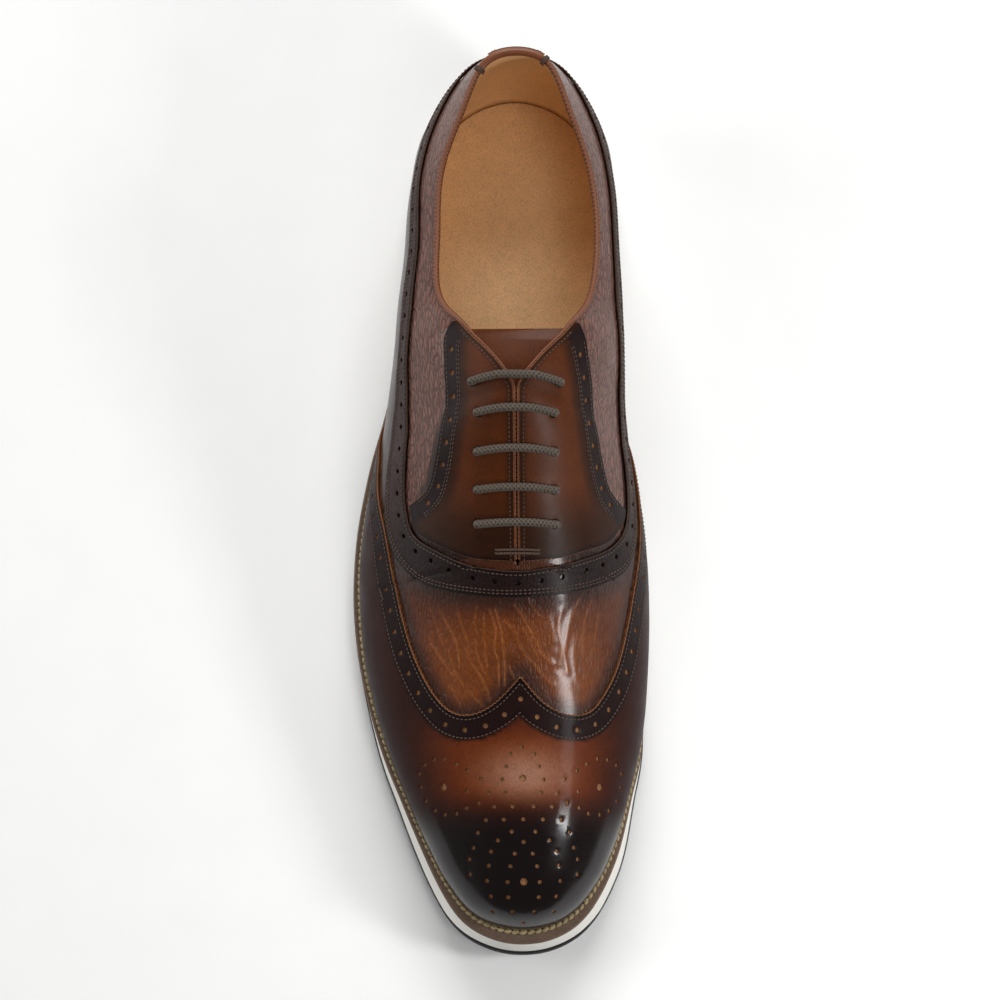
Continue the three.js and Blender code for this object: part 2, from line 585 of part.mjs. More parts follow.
function laceBar(row) {
  const out = GAP + OVERLAY_THICKNESS + LACE_CLEARANCE + LACE_DIAMETER / 2;
  const u = eyeletStation(row);
  const shares = [1, 0.5, 0.1];
  const points = [-1, 1].flatMap((side) => (side < 0 ? shares : [...shares].reverse()).map((share) =>
    skinPoint(side * u, wallShare(side * u, EYELET_SPREAD * share), out)));
  return cord(points, LACE_DIAMETER / 2, LACE_STEPS, LACE_FACETS);
}

function binding() {
  const out = -UPPER_WALL / 2;
  const stops = STATIONS.filter((u) => u < BINDING_END);
  const path = [...stops.slice(1).reverse().map((u) => -u), ...stops];
  const points = path.map((along) => {
    const point = skinPoint(along, 1, out);
    point.z = lastPoint(along, 1).z + BINDING_LIFT;
    return point;
  });
  return cord(points, BINDING_RADIUS, BINDING_STEPS, BINDING_FACETS);
}

// The shoe
const shoe = new THREE.Group();

function addMesh(name, geometry, colour, roughness) {
  const material = new THREE.MeshStandardMaterial({ color: colour, roughness, metalness: 0 });
  const mesh = new THREE.Mesh(geometry, material);
  mesh.name = name;
  shoe.add(mesh);
}

addMesh('outsole', outsole(), 0x141414, 0.7);
addMesh('midsole', midsole(), 0xe9e6df, 0.6);
addMesh('welt', welt(), 0x6b5647, 0.6);
addMesh('insole', insole(), 0xc08a55, 0.8);
addMesh('upper', upper(), 0x5a3020, 0.4);
addMesh('tongue', tongue(), 0x6e4123, 0.5);
addMesh('wing_cap', wingCap(), 0x3c1e19, 0.3);
addMesh('vamp_band', vampBand(), 0x322326, 0.4);
addMesh('facing_lateral', facing(-1), 0x5a321e, 0.35);
addMesh('facing_medial', facing(1), 0x5a321e, 0.35);
addMesh('backstay', backstay(), 0x4a2c24, 0.4);
addMesh('topline_binding', binding(), 0xa8653c, 0.5);
for (let row = 0; row < EYELET_ROWS; row++) addMesh(`lace_bar_${row + 1}`, laceBar(row), 0x5f5548, 0.8);

const box = new THREE.Box3().setFromObject(shoe);
shoe.position.set(-(box.min.x + box.max.x) / 2, -(box.min.y + box.max.y) / 2, -box.min.z);

export default shoe;
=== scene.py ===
"""Looks of the wing tip brogue shoe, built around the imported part. Laid out as an add-on, run as a script."""
import math

import bmesh
import bpy
import numpy as np
from bpy.props import FloatProperty, FloatVectorProperty, PointerProperty
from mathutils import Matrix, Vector, kdtree
from mathutils.geometry import delaunay_2d_cdt


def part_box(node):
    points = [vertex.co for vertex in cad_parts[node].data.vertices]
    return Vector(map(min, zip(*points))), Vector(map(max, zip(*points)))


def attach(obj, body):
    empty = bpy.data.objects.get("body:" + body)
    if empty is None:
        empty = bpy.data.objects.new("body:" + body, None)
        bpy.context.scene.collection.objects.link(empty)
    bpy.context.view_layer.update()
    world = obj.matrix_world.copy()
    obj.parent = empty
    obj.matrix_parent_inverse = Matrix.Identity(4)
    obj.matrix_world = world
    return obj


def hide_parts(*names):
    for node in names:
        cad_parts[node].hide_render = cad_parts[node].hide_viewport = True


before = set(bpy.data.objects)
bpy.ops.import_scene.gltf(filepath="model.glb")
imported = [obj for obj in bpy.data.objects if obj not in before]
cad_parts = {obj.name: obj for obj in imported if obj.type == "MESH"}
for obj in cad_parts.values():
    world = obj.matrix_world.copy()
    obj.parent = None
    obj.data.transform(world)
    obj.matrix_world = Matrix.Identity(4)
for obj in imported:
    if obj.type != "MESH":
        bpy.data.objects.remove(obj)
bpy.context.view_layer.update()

bl_info = {
    "name": "Wing Tip Brogue",
    "version": (1, 0, 0),
    "blender": (4, 5, 0),
    "location": "View3D > Sidebar > Brogue",
    "description": "Builds the leather, seams, laces and sole of a brogue shoe around its packed solids",
    "category": "Object",
}

MM = 0.001

# The last, in millimetres, from the heel at y 0 to the toe at y -297.5. The words are those of the solids.
LAST_LENGTH = 297.5
BALL_WIDTH = 93.8
HEEL_WIDTH = 64.0
BACK_HEIGHT = 62.0
INSTEP_HEIGHT = 77.3
TOE_HEIGHT = 28.5
SLIT_WIDTH = 1.4
SLIT_FROM, SLIT_END = 6.6, 8.85
SOLE = {"outsole": 4.0, "heel": 20.0, "ball": 9.0, "welt": 3.0, "margin": 4.2, "flare": 2.6, "lip": 0.9}
TOE_SPRING, SPRING_FROM, SPRING_POWER = 10.0, 0.69, 1.8
ARCH_RISE, ARCH_FROM, ARCH_TO = 2.5, 0.27, 0.60
PITCH_FROM, PITCH_TO = 0.20, 0.62
HEEL_BEVEL, HEEL_FLAT_FROM = 1.2, 0.03
WELT_BLEND = 1.5
UPPER_WALL, TONGUE_EASE, TONGUE_THICKNESS, INSOLE_THICKNESS = 2.0, 0.7, 2.0, 4.0
GAP, OVERLAY = 0.3, 1.1
COLUMNS = ("at", "top_at", "forward", "lateral", "medial", "ridge", "open", "height", "turn",
           "swell_lateral", "swell_medial", "lift", "lean_lateral", "lean_medial", "fall")
SECTIONS = (
    (0.000, 0.0135, 0.00, 0.031, -0.031, -0.027, 0.000, 1.000, 90, 0.080, 0.080, 0.33, 0.080, 0.080, 0.30),
    (0.020, 0.029, 0.00, 0.310, 0.248, -0.027, 0.186, 0.984, 54, 0.085, 0.080, 0.34, 0.110, 0.105, 0.29),
    (0.073, 0.087, 0.00, 0.503, 0.438, -0.029, 0.310, 0.927, 18, 0.110, 0.095, 0.35, 0.160, 0.140, 0.28),
    (0.148, 0.151, 0.00, 0.538, 0.464, -0.030, 0.411, 0.855, 4, 0.120, 0.095, 0.36, 0.190, 0.150, 0.27),
    (0.229, 0.222, 0.15, 0.523, 0.432, -0.020, 0.409, 0.800, 0, 0.117, 0.085, 0.36, 0.200, 0.145, 0.27),
    (0.313, 0.296, 0.40, 0.505, 0.393, -0.030, 0.347, 0.822, 0, 0.110, 0.095, 0.36, 0.225, 0.190, 0.25),
    (0.393, 0.346, 0.80, 0.490, 0.353, -0.019, 0.190, 0.947, 0, 0.090, 0.105, 0.37, 0.230, 0.215, 0.17),
    (0.471, 0.417, 1.00, 0.518, 0.382, -0.021, 0.000, 1.000, 0, 0.058, 0.100, 0.38, 0.230, 0.215, 0.05),
    (0.548, 0.521, 1.15, 0.558, 0.419, -0.019, 0.000, 0.937, 0, 0.030, 0.085, 0.40, 0.245, 0.215, 0.02),
    (0.625, 0.615, 1.35, 0.564, 0.435, -0.014, 0.000, 0.905, 0, 0.020, 0.065, 0.43, 0.260, 0.225, 0.00),
    (0.703, 0.699, 1.55, 0.538, 0.430, -0.006, 0.000, 0.907, 0, 0.015, 0.048, 0.46, 0.265, 0.228, 0.00),
    (0.780, 0.780, 1.75, 0.472, 0.409, 0.000, 0.000, 0.941, 0, 0.010, 0.030, 0.48, 0.255, 0.220, 0.00),
    (0.849, 0.849, 1.90, 0.387, 0.358, 0.005, 0.000, 0.967, 0, 0.010, 0.020, 0.50, 0.225, 0.200, 0.00),
    (0.906, 0.906, 2.00, 0.309, 0.307, 0.008, 0.000, 0.965, 0, 0.010, 0.012, 0.52, 0.185, 0.175, 0.00),
    (0.951, 0.951, 2.00, 0.239, 0.245, 0.008, 0.000, 0.793, 0, 0.008, 0.010, 0.54, 0.140, 0.140, 0.00),
    (0.980, 0.980, 2.00, 0.171, 0.177, 0.007, 0.000, 0.593, 0, 0.006, 0.006, 0.55, 0.098, 0.098, 0.00),
    (0.9953, 0.9953, 2.00, 0.085, 0.096, 0.006, 0.000, 0.316, 0, 0.003, 0.003, 0.55, 0.050, 0.052, 0.00),
    (1.000, 1.000, 2.00, -0.005, 0.005, 0.005, 0.000, 0.000, 0, 0.000, 0.000, 0.55, 0.000, 0.000, 0.00),
)
ROWS = [dict(zip(COLUMNS, row)) for row in SECTIONS]
TIP = len(ROWS) - 1

# How far welt and flare stand out, as shares of their own sizes
EDGE = np.array((
    (0.00, 0.62, 0.62, 0.50),
    (0.15, 0.75, 0.70, 0.45),
    (0.35, 0.90, 0.60, 0.45),
    (0.55, 1.00, 0.45, 0.45),
    (0.70, 1.00, 0.45, 0.50),
    (0.82, 1.05, 0.90, 0.85),
    (0.93, 1.10, 1.10, 1.05),
    (1.00, 1.15, 1.15, 1.20),
))

# Panel outlines as (side, station): side runs from -1 at the lateral feather line over 0 at the ridge to 1
WING_LATERAL = ((-1.0, 6.0), (-0.93, 6.1), (-0.80, 6.7), (-0.725, 7.5), (-0.65, 8.1), (-0.60, 8.7),
                (-0.56, 9.3), (-0.51, 9.9), (-0.44, 10.4), (-0.35, 10.72), (-0.24, 10.8), (-0.12, 10.65),
                (0, 10.3))
WING_MEDIAL = ((0, 10.3), (0.12, 10.65), (0.26, 10.8), (0.39, 10.72), (0.49, 10.4), (0.56, 10.0),
               (0.62, 9.4), (0.68, 8.7), (0.75, 8.0), (0.80, 7.3), (0.85, 6.7), (0.94, 6.1), (1.0, 6.0))
BAND_UPPER = ((-0.30, 0.52), (-0.29, 1.5), (-0.25, 2.4), (-0.17, 3.4), (-0.15, 4.4), (-0.19, 5.0),
              (-0.28, 5.45), (-0.385, 5.9), (-0.48, 6.4), (-0.535, 6.9), (-0.54, 7.5), (-0.525, 7.95),
              (-0.48, 8.3), (-0.36, 8.58), (-0.20, 8.83), (0, 8.93), (0.20, 8.83), (0.36, 8.66),
              (0.50, 8.44), (0.60, 8.1), (0.635, 7.6), (0.62, 6.9), (0.56, 6.4), (0.46, 5.9), (0.34, 5.4),
              (0.23, 4.9), (0.19, 4.3), (0.20, 3.4), (0.26, 2.4), (0.29, 1.5), (0.30, 0.52))
BAND_LOWER = ((0.42, 0.48), (0.41, 1.5), (0.38, 2.4), (0.32, 3.4), (0.31, 4.3), (0.35, 4.9), (0.45, 5.4),
              (0.555, 5.9), (0.645, 6.4), (0.70, 6.9), (0.715, 7.6), (0.685, 8.2), (0.61, 8.62),
              (0.50, 8.87), (0.34, 9.08), (0.17, 9.2), (0, 9.25), (-0.15, 9.22), (-0.32, 9.1),
              (-0.46, 8.9), (-0.58, 8.5), (-0.645, 8.0), (-0.66, 7.5), (-0.65, 6.9), (-0.59, 6.4),
              (-0.50, 5.9), (-0.40, 5.45), (-0.31, 5.0), (-0.27, 4.4), (-0.29, 3.4), (-0.37, 2.4),
              (-0.41, 1.5), (-0.42, 0.48))
FACING_OUTER = {
    -1: ((-0.03, 5.8), (-0.15, 6.1), (-0.27, 6.6), (-0.34, 7.1), (-0.37, 7.5), (-0.41, 7.8), (-0.51, 7.9)),
    1: ((0.03, 5.85), (0.18, 6.2), (0.33, 6.6), (0.41, 7.0), (0.45, 7.4), (0.50, 7.72), (0.61, 7.85)),
}
FACING_FOOT = {
    -1: ((-0.51, 7.9), (-0.465, 8.26), (-0.35, 8.52), (-0.19, 8.75), (0, 8.82)),
    1: ((0.61, 7.85), (0.585, 8.05), (0.485, 8.38), (0.35, 8.58), (0.19, 8.75), (0, 8.82)),
}
# Backstay as (station round the heel, share of the wall's height)
BACKSTAY_EDGE = ((0.58, 0.0), (0.50, 0.3), (0.42, 0.55), (0.50, 0.78), (0.70, 0.92), (0.75, 1.0))

FIRST_EYELET, LAST_EYELET, EYELET_ROWS, EYELET_SPREAD = 6.82, 8.35, 5, 12.4
SLIT_TACKS = (8.67, 8.71)
TONGUE_TOP, TONGUE_FOOT, TONGUE_SIDE, TONGUE_TAPER = 6.0, 9.5, 0.5, 0.6

# Toe pattern, one half, as (millimetres from the ridge, station). Big holes come first.
PATTERN_BIG = ((0, 11.8), (28.5, 11.9), (0, 14.0))
PATTERN_SMALL = (
    (0, 11.3), (3.9, 11.4), (5.4, 11.6), (6.8, 11.82), (5.9, 12.05), (3.5, 12.3),
    (14.1, 11.8), (11.5, 12.05), (9.7, 12.3), (15.0, 12.22), (19.3, 12.0), (19.6, 12.3), (23.6, 12.4),
    (28.6, 12.4), (32.8, 12.3), (36.6, 12.1), (38.6, 11.85), (38.8, 11.62), (36.2, 11.5), (32.0, 11.43),
    (27.6, 11.43), (22.9, 11.53), (18.9, 11.65),
    (0, 12.55), (6.5, 12.55), (12.7, 12.55), (15.7, 12.8), (3.9, 12.8), (8.6, 12.98), (0, 13.02),
    (17.4, 13.12), (11.0, 13.22), (3.0, 13.28), (19.2, 13.38), (11.8, 13.55), (4.4, 13.58), (19.4, 13.75),
    (12.5, 13.95), (5.3, 14.0), (11.2, 14.45), (5.0, 14.5), (10.6, 15.08), (3.6, 15.12), (0, 15.8),
)


# Shape of the last

def mix(values, share):
    i = min(int(share), len(values) - 2)
    return values[i] + (values[i + 1] - values[i]) * (share - i)


def smooth(low, high, value):
    t = np.clip((np.asarray(value, float) - low) / (high - low), 0, 1)
    return t * t * (3 - 2 * t)


def run_of(points):
    """Distance walked along a row of points, up to each of them."""
    return np.concatenate(((0,), np.cumsum(np.linalg.norm(np.diff(points, axis=0), axis=1))))


def spring(at):
    return TOE_SPRING * np.maximum(0, (at - SPRING_FROM) / (1 - SPRING_FROM)) ** SPRING_POWER


def seat_line(at):
    midsole = SOLE["heel"] + (SOLE["ball"] - SOLE["heel"]) * smooth(PITCH_FROM, PITCH_TO, at)
    return SOLE["outsole"] + midsole + SOLE["welt"] + spring(at)


def ground_line(at):
    middle = (ARCH_FROM + ARCH_TO) / 2
    arch = smooth(ARCH_FROM, middle, at) - smooth(middle, ARCH_TO, at)
    bevel = HEEL_BEVEL * np.maximum(0, 1 - np.maximum(0, at) / HEEL_FLAT_FROM) ** 2
    return ARCH_RISE * arch + spring(at) + bevel


def handles(row, side):
    width = mix((HEEL_WIDTH, BALL_WIDTH, BALL_WIDTH), row["forward"])
    height = row["height"] * mix((BACK_HEIGHT, INSTEP_HEIGHT, TOE_HEIGHT), row["forward"])
    word = "lateral" if side < 0 else "medial"
    turn = math.radians(row["turn"])
    out = np.array((side * math.cos(turn), math.sin(turn), 0))
    feather = np.array((side * row[word] * width, -row["at"] * LAST_LENGTH, float(seat_line(row["at"]))))
    top = np.array((row["ridge"] * width + side * row["open"] * width, -row["top_at"] * LAST_LENGTH,
                    feather[2] + height))
    swollen = feather + out * row["swell_" + word] * width + (0, 0, row["lift"] * height)
    shoulder = top + out * row["lean_" + word] * width - (0, 0, row["fall"] * height)
    return np.array((feather, swollen, shoulder, top))


NET = {side: np.array([handles(row, side) for row in ROWS]) for side in (-1, 1)}


def padded_net(side):
    past = NET[-side][TIP - 1].copy()
    past[:, 2] = 2 * NET[side][TIP][:, 2] - NET[side][TIP - 1][:, 2]
    return np.concatenate((NET[-side][1][None], NET[side], past[None]))


PADDED = {side: padded_net(side) for side in (-1, 1)}


def through(p, q, r, s, t):
    """A smooth curve from q to r, with p before and s after them."""
    square, cube = 2 * p - 5 * q + 4 * r - s, 3 * q - p - 3 * r + s
    return 0.5 * (2 * q + (r - p) * t + square * t ** 2 + cube * t ** 3)


def section(side, u):
    i = np.minimum(u.astype(int), TIP - 1)
    return through(*(PADDED[side][i + k] for k in range(4)), (u - i)[:, None, None])


def last_point(along, v):
    """Points of the upper's outside: along runs from -TIP over 0 at the heel to TIP, v from 0 to 1."""
    u = np.minimum(np.abs(along), TIP)
    side = np.where(along < 0, -1.0, 1.0)
    medial, lateral = section(1, u), section(-1, u)
    own = np.where(side[:, None, None] > 0, medial, lateral)
    across = np.where(side > 0, lateral[:, 3, 0], medial[:, 3, 0])
    slit = SLIT_WIDTH / 2 * smooth(SLIT_FROM - 0.35, SLIT_FROM + 0.1, u) * (u < SLIT_END)
    half = np.maximum(0, side * (own[:, 3, 0] - across) / 2) + slit
    moved = (own[:, 3, 0] + across) / 2 + side * half - own[:, 3, 0]
    own[:, 3, 0] += moved
    own[:, 2, 0] += moved
    v = np.asarray(v, float)[:, None]
    w = 1 - v
    return own[:, 0] * w ** 3 + 3 * own[:, 1] * w ** 2 * v + 3 * own[:, 2] * w * v ** 2 + own[:, 3] * v ** 3


STEP = 0.01
# Punched holes, in millimetres: the firm ring round each, the depth of its bottom, and the sink of its rim
COLLAR, HOLE_DEPTH, RIM_SINK, HOLE_SIDES = 0.4, 0.62, 0.06, 12
BOTTOM_SIDES = 8
FLAT_STITCH = 0.8
SEAM_RISE, SIDE_SEAM_RISE = 0.03, 0.02
PANEL_SMOOTH = 38


def side_normal(along, v):
    reach = np.minimum(np.abs(along), TIP - 0.05) * np.where(along < 0, -1, 1)
    around = last_point(reach + STEP, v) - last_point(reach - STEP, v)
    up = last_point(reach, np.minimum(1, v + STEP)) - last_point(reach, np.maximum(0, v - STEP))
    normal = np.cross(up, around)
    return normal / np.maximum(1e-9, np.linalg.norm(normal, axis=1))[:, None]


def last_normal(along, v):
    normal = side_normal(along, v)
    closed = (v > 0.999) & (np.abs(along) >= SLIT_END)
    both = normal + side_normal(-along, v)
    both /= np.maximum(1e-9, np.linalg.norm(both, axis=1))[:, None]
    normal = np.where(closed[:, None], both, normal)
    return np.where((np.abs(along) >= TIP - 1e-6)[:, None], (0, -1, 0), normal)


# How far the leather stands full over the welt, in millimetres: (share of the length, lateral, medial)
FULLNESS = np.array(((0.30, 0, 0), (0.45, 1.6, 1.0), (0.58, 3.0, 2.2), (0.75, 2.7, 2.7), (0.88, 2.3, 2.5),
                     (0.93, 1.8, 1.9), (0.97, 0.8, 0.8), (1.0, 0, 0)))
STATION_AT = np.array([row["at"] for row in ROWS])


def fullness(along, v):
    at = np.interp(np.abs(along), np.arange(TIP + 1), STATION_AT)
    amount = np.where(along < 0, np.interp(at, FULLNESS[:, 0], FULLNESS[:, 1]),
                      np.interp(at, FULLNESS[:, 0], FULLNESS[:, 2]))
    return amount * (0.45 + 0.55 * smooth(0, 0.12, v)) * smooth(0.55, 0.14, v)


def skin(along, v, out=0.0):
    along, v = np.asarray(along, float), np.asarray(v, float)
    reach = np.reshape(np.asarray(out) + fullness(along, v), (-1, 1))
    return last_point(along, v) + last_normal(along, v) * reach


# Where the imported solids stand: the middle of the upper's box against the middle of the same surface here
def measured_place():
    along, v = np.meshgrid(np.linspace(-TIP, TIP, 341), np.linspace(0, 1, 41))
    points = last_point(along.ravel(), v.ravel())
    low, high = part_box("upper")
    middle = (points.min(0) + points.max(0)) / 2 * MM
    return np.array(((low.x + high.x) / 2 - middle[0], (low.y + high.y) / 2 - middle[1], 0))


PLACE = measured_place()


def to_frame(points):
    return np.asarray(points) * MM + PLACE


class Chart:
    """A flat map of the last, with tools that work in real millimetres on it."""

    def __init__(self, lay, low, high, scale):
        self.lay, self.low, self.high, self.scale = lay, np.array(low, float), np.array(high, float), scale

    def slopes(self, points):
        found = []
        for k in (0, 1):
            step = np.zeros(2)
            step[k] = STEP
            one = np.clip(points - step, self.low, self.high)
            two = np.clip(points + step, self.low, self.high)
            found.append((self.lay(two, 0) - self.lay(one, 0)) / (two - one)[:, k][:, None])
        return found

    def flat(self, points, vectors):
        """Moves on the map that stand for real ones."""
        a, b = self.slopes(points)
        aa, ab, bb = (a * a).sum(1), (a * b).sum(1), (b * b).sum(1)
        va, vb = (vectors * a).sum(1), (vectors * b).sum(1)
        det = np.maximum(1e-9, aa * bb - ab * ab)
        return np.stack(((va * bb - vb * ab) / det, (vb * aa - va * ab) / det), 1)

    def normal(self, points):
        a, b = self.slopes(points)
        n = np.cross(a, b)
        n = n / np.maximum(1e-9, np.linalg.norm(n, axis=1))[:, None]
        out = self.lay(points, 1.0) - self.lay(points, 0.0)
        return n * np.sign((n * out).sum(1))[:, None]

    def walk(self, line, pitch, ends=True):
        """Points at an even real distance along a line on the map."""
        line = np.asarray(line, float)
        length = run_of(self.lay(line, 0))
        count = max(2, int(round(length[-1] / pitch)) + 1)
        stops = np.linspace(0, length[-1], count)
        if not ends:
            stops = (stops[:-1] + stops[1:]) / 2
        return np.stack([np.interp(stops, length, line[:, k]) for k in (0, 1)], 1)

    def tangents(self, line):
        real = self.lay(line, 0)
        t = np.gradient(real, axis=0)
        return t / np.maximum(1e-9, np.linalg.norm(t, axis=1))[:, None]

    def shift(self, line, amount):
        """The line moved to its left, seen from outside, by real millimetres."""
        line = np.asarray(line, float)
        across = np.cross(self.normal(line), self.tangents(line))
        moved = line + self.flat(line, across * np.reshape(amount, (-1, 1)))
        return np.clip(moved, self.low, self.high)

    def circle(self, point, radius, count):
        turns = np.arange(count) * 2 * math.pi / count
        points = np.repeat(np.array(point, float)[None], count, 0)
        a, _ = self.slopes(points)
        a = a / np.linalg.norm(a, axis=1)[:, None]
        b = np.cross(self.normal(points), a)
        round_ = a * np.cos(turns)[:, None] + b * np.sin(turns)[:, None]
        return points + self.flat(points, round_ * radius)


def top_lay(only=0):
    def lay(points, out):
        points = np.asarray(points, float)
        sign = np.where(points[:, 0] < 0, -1.0, 1.0)
        if only:
            sign = np.full(len(points), float(only))
        return skin(sign * points[:, 1], 1 - np.abs(points[:, 0]), out)
    return lay


def heel_lay(points, out):
    return skin(-points[:, 0], points[:, 1], out)


WHOLE = Chart(top_lay(), (-1, 0.02), (1, TIP), (60, 17))
SIDES = {
    -1: Chart(top_lay(-1), (-1, 0.02), (0, TIP), (60, 17)),
    1: Chart(top_lay(1), (0, 0.02), (1, TIP), (60, 17)),
}
HEEL = Chart(heel_lay, (-3, 0), (3, 1), (17, 60))


def curve(points, steps=8):
    """A smooth line through the points."""
    points = np.asarray(points, float)
    padded = np.concatenate((points[:1], points, points[-1:]))
    found = [through(*padded[i:i + 4], t) for i in range(len(points) - 1) for t in np.arange(steps) / steps]
    return np.array(found + [points[-1]])


def pinked(chart, line, pitch, depth):
    """A line cut in small teeth."""
    walked = chart.walk(line, pitch / 2)
    teeth = np.where(np.arange(len(walked)) % 2, depth, 0.0)
    return chart.shift(walked, teeth)


def share_at(u, distance, side):
    """The side coordinate at a real distance from the ridge."""
    v = np.linspace(1, 0, 160)
    points = last_point(np.full(160, side * u), v)
    walked = run_of(points)
    return side * float(np.interp(distance, walked, 1 - v))


def inside(points, loop):
    """Which points lie in a closed line on the map."""
    found = np.zeros(len(points), bool)
    x, y = points[:, 0], points[:, 1]
    for (x0, y0), (x1, y1) in zip(loop, np.roll(loop, -1, axis=0)):
        if y0 == y1:
            continue
        crosses = (y0 > y) != (y1 > y)
        found ^= crosses & (x < (x1 - x0) * (y - y0) / (y1 - y0) + x0)
    return found


# Mesh helpers

def deselect():
    bpy.ops.object.select_all(action="DESELECT")


def activate(obj):
    deselect()
    obj.select_set(True)
    bpy.context.view_layer.objects.active = obj


def mesh_object(name, vertices, faces, materials, smooth_angle=40.0):
    """A new object from points in the frame's metres."""
    mesh = bpy.data.meshes.new(name)
    mesh.from_pydata([tuple(p) for p in vertices], [], faces)
    mesh.validate()
    obj = bpy.data.objects.new(name, mesh)
    bpy.context.scene.collection.objects.link(obj)
    for material in materials:
        mesh.materials.append(material)
    activate(obj)
    bpy.ops.object.shade_smooth_by_angle(angle=math.radians(smooth_angle))
    return obj


def paint(obj, name, colours):
    """Stores a colour for each vertex, from sRGB numbers of 0 to 255."""
    values = np.ones((len(obj.data.vertices), 4), np.float32)
    values[:, :3] = linear(colours)
    attribute = obj.data.attributes.new(name, "FLOAT_COLOR", "POINT")
    attribute.data.foreach_set("color", values.ravel())


def add_layer(obj, name, amount):
    """Stores a number for each vertex."""
    obj.data.attributes.new(name, "FLOAT", "POINT").data.foreach_set("value", amount.astype(np.float32))


def linear(colour):
    c = np.clip(np.asarray(colour, float) / 255, 0, 1)
    return np.where(c <= 0.04045, c / 12.92, ((c + 0.055) / 1.055) ** 2.4)


def blend(one, two, share):
    share = np.clip(np.asarray(share, float), 0, 1)[:, None]
    return np.asarray(one, float) * (1 - share) + np.asarray(two, float) * share


def apply_modifier(obj, kind, **values):
    activate(obj)
    bpy.ops.object.modifier_add(type=kind)
    modifier = obj.modifiers[-1]
    for key, value in values.items():
        setattr(modifier, key, value)
    bpy.ops.object.modifier_apply(modifier=modifier.name)


def clean_mesh(obj, merge=0.0, outward=True):
    """Merges points closer than a distance in millimetres and turns all faces outwards."""
    activate(obj)
    bpy.ops.object.mode_set(mode="EDIT")
    bpy.ops.mesh.select_all(action="SELECT")
    if merge:
        bpy.ops.mesh.remove_doubles(threshold=merge * MM)
    if outward:
        bpy.ops.mesh.normals_make_consistent(inside=False)
    bpy.ops.object.mode_set(mode="OBJECT")


def dress(obj, slot, *nodes):
    """Every piece rides on the one body and may stand for solids. Its slot, the name of its finish, is not
    used.
    """
    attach(obj, "root")
    if nodes:
        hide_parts(*nodes)


def fill_points(chart, loop, spacing):
    """Points spread evenly over the real surface inside a closed line on the map."""
    low, high = loop.min(0), loop.max(0)
    tracks = np.linspace(low[0], high[0], 7)
    ups = np.linspace(low[1], high[1], 700)
    steps = np.zeros(len(ups) - 1)
    for x in tracks:
        real = chart.lay(np.stack((np.full(len(ups), x), ups), 1), 0)
        steps = np.maximum(steps, np.linalg.norm(np.diff(real, axis=0), axis=1))
    length = np.concatenate(((0,), np.cumsum(steps)))
    rows = np.interp(np.arange(spacing, length[-1], spacing * 0.87), length, ups)
    points = []
    for k, y in enumerate(rows):
        across = np.linspace(low[0], high[0], 200)
        real = chart.lay(np.stack((across, np.full(200, y)), 1), 0)
        walked = run_of(real)
        stops = np.arange(spacing * (0.5 if k % 2 else 1), walked[-1], spacing)
        x = np.interp(stops, walked, across)
        points.append(np.stack((x, np.full(len(x), y)), 1))
    points = np.concatenate(points)
    return points[inside(points, loop)]


def tree_of(points):
    tree = kdtree.KDTree(len(points))
    for i, p in enumerate(points):
        tree.insert(p, i)
    tree.balance()
    return tree


def distances(points, tree):
    return np.array([tree.find(p)[2] for p in points])


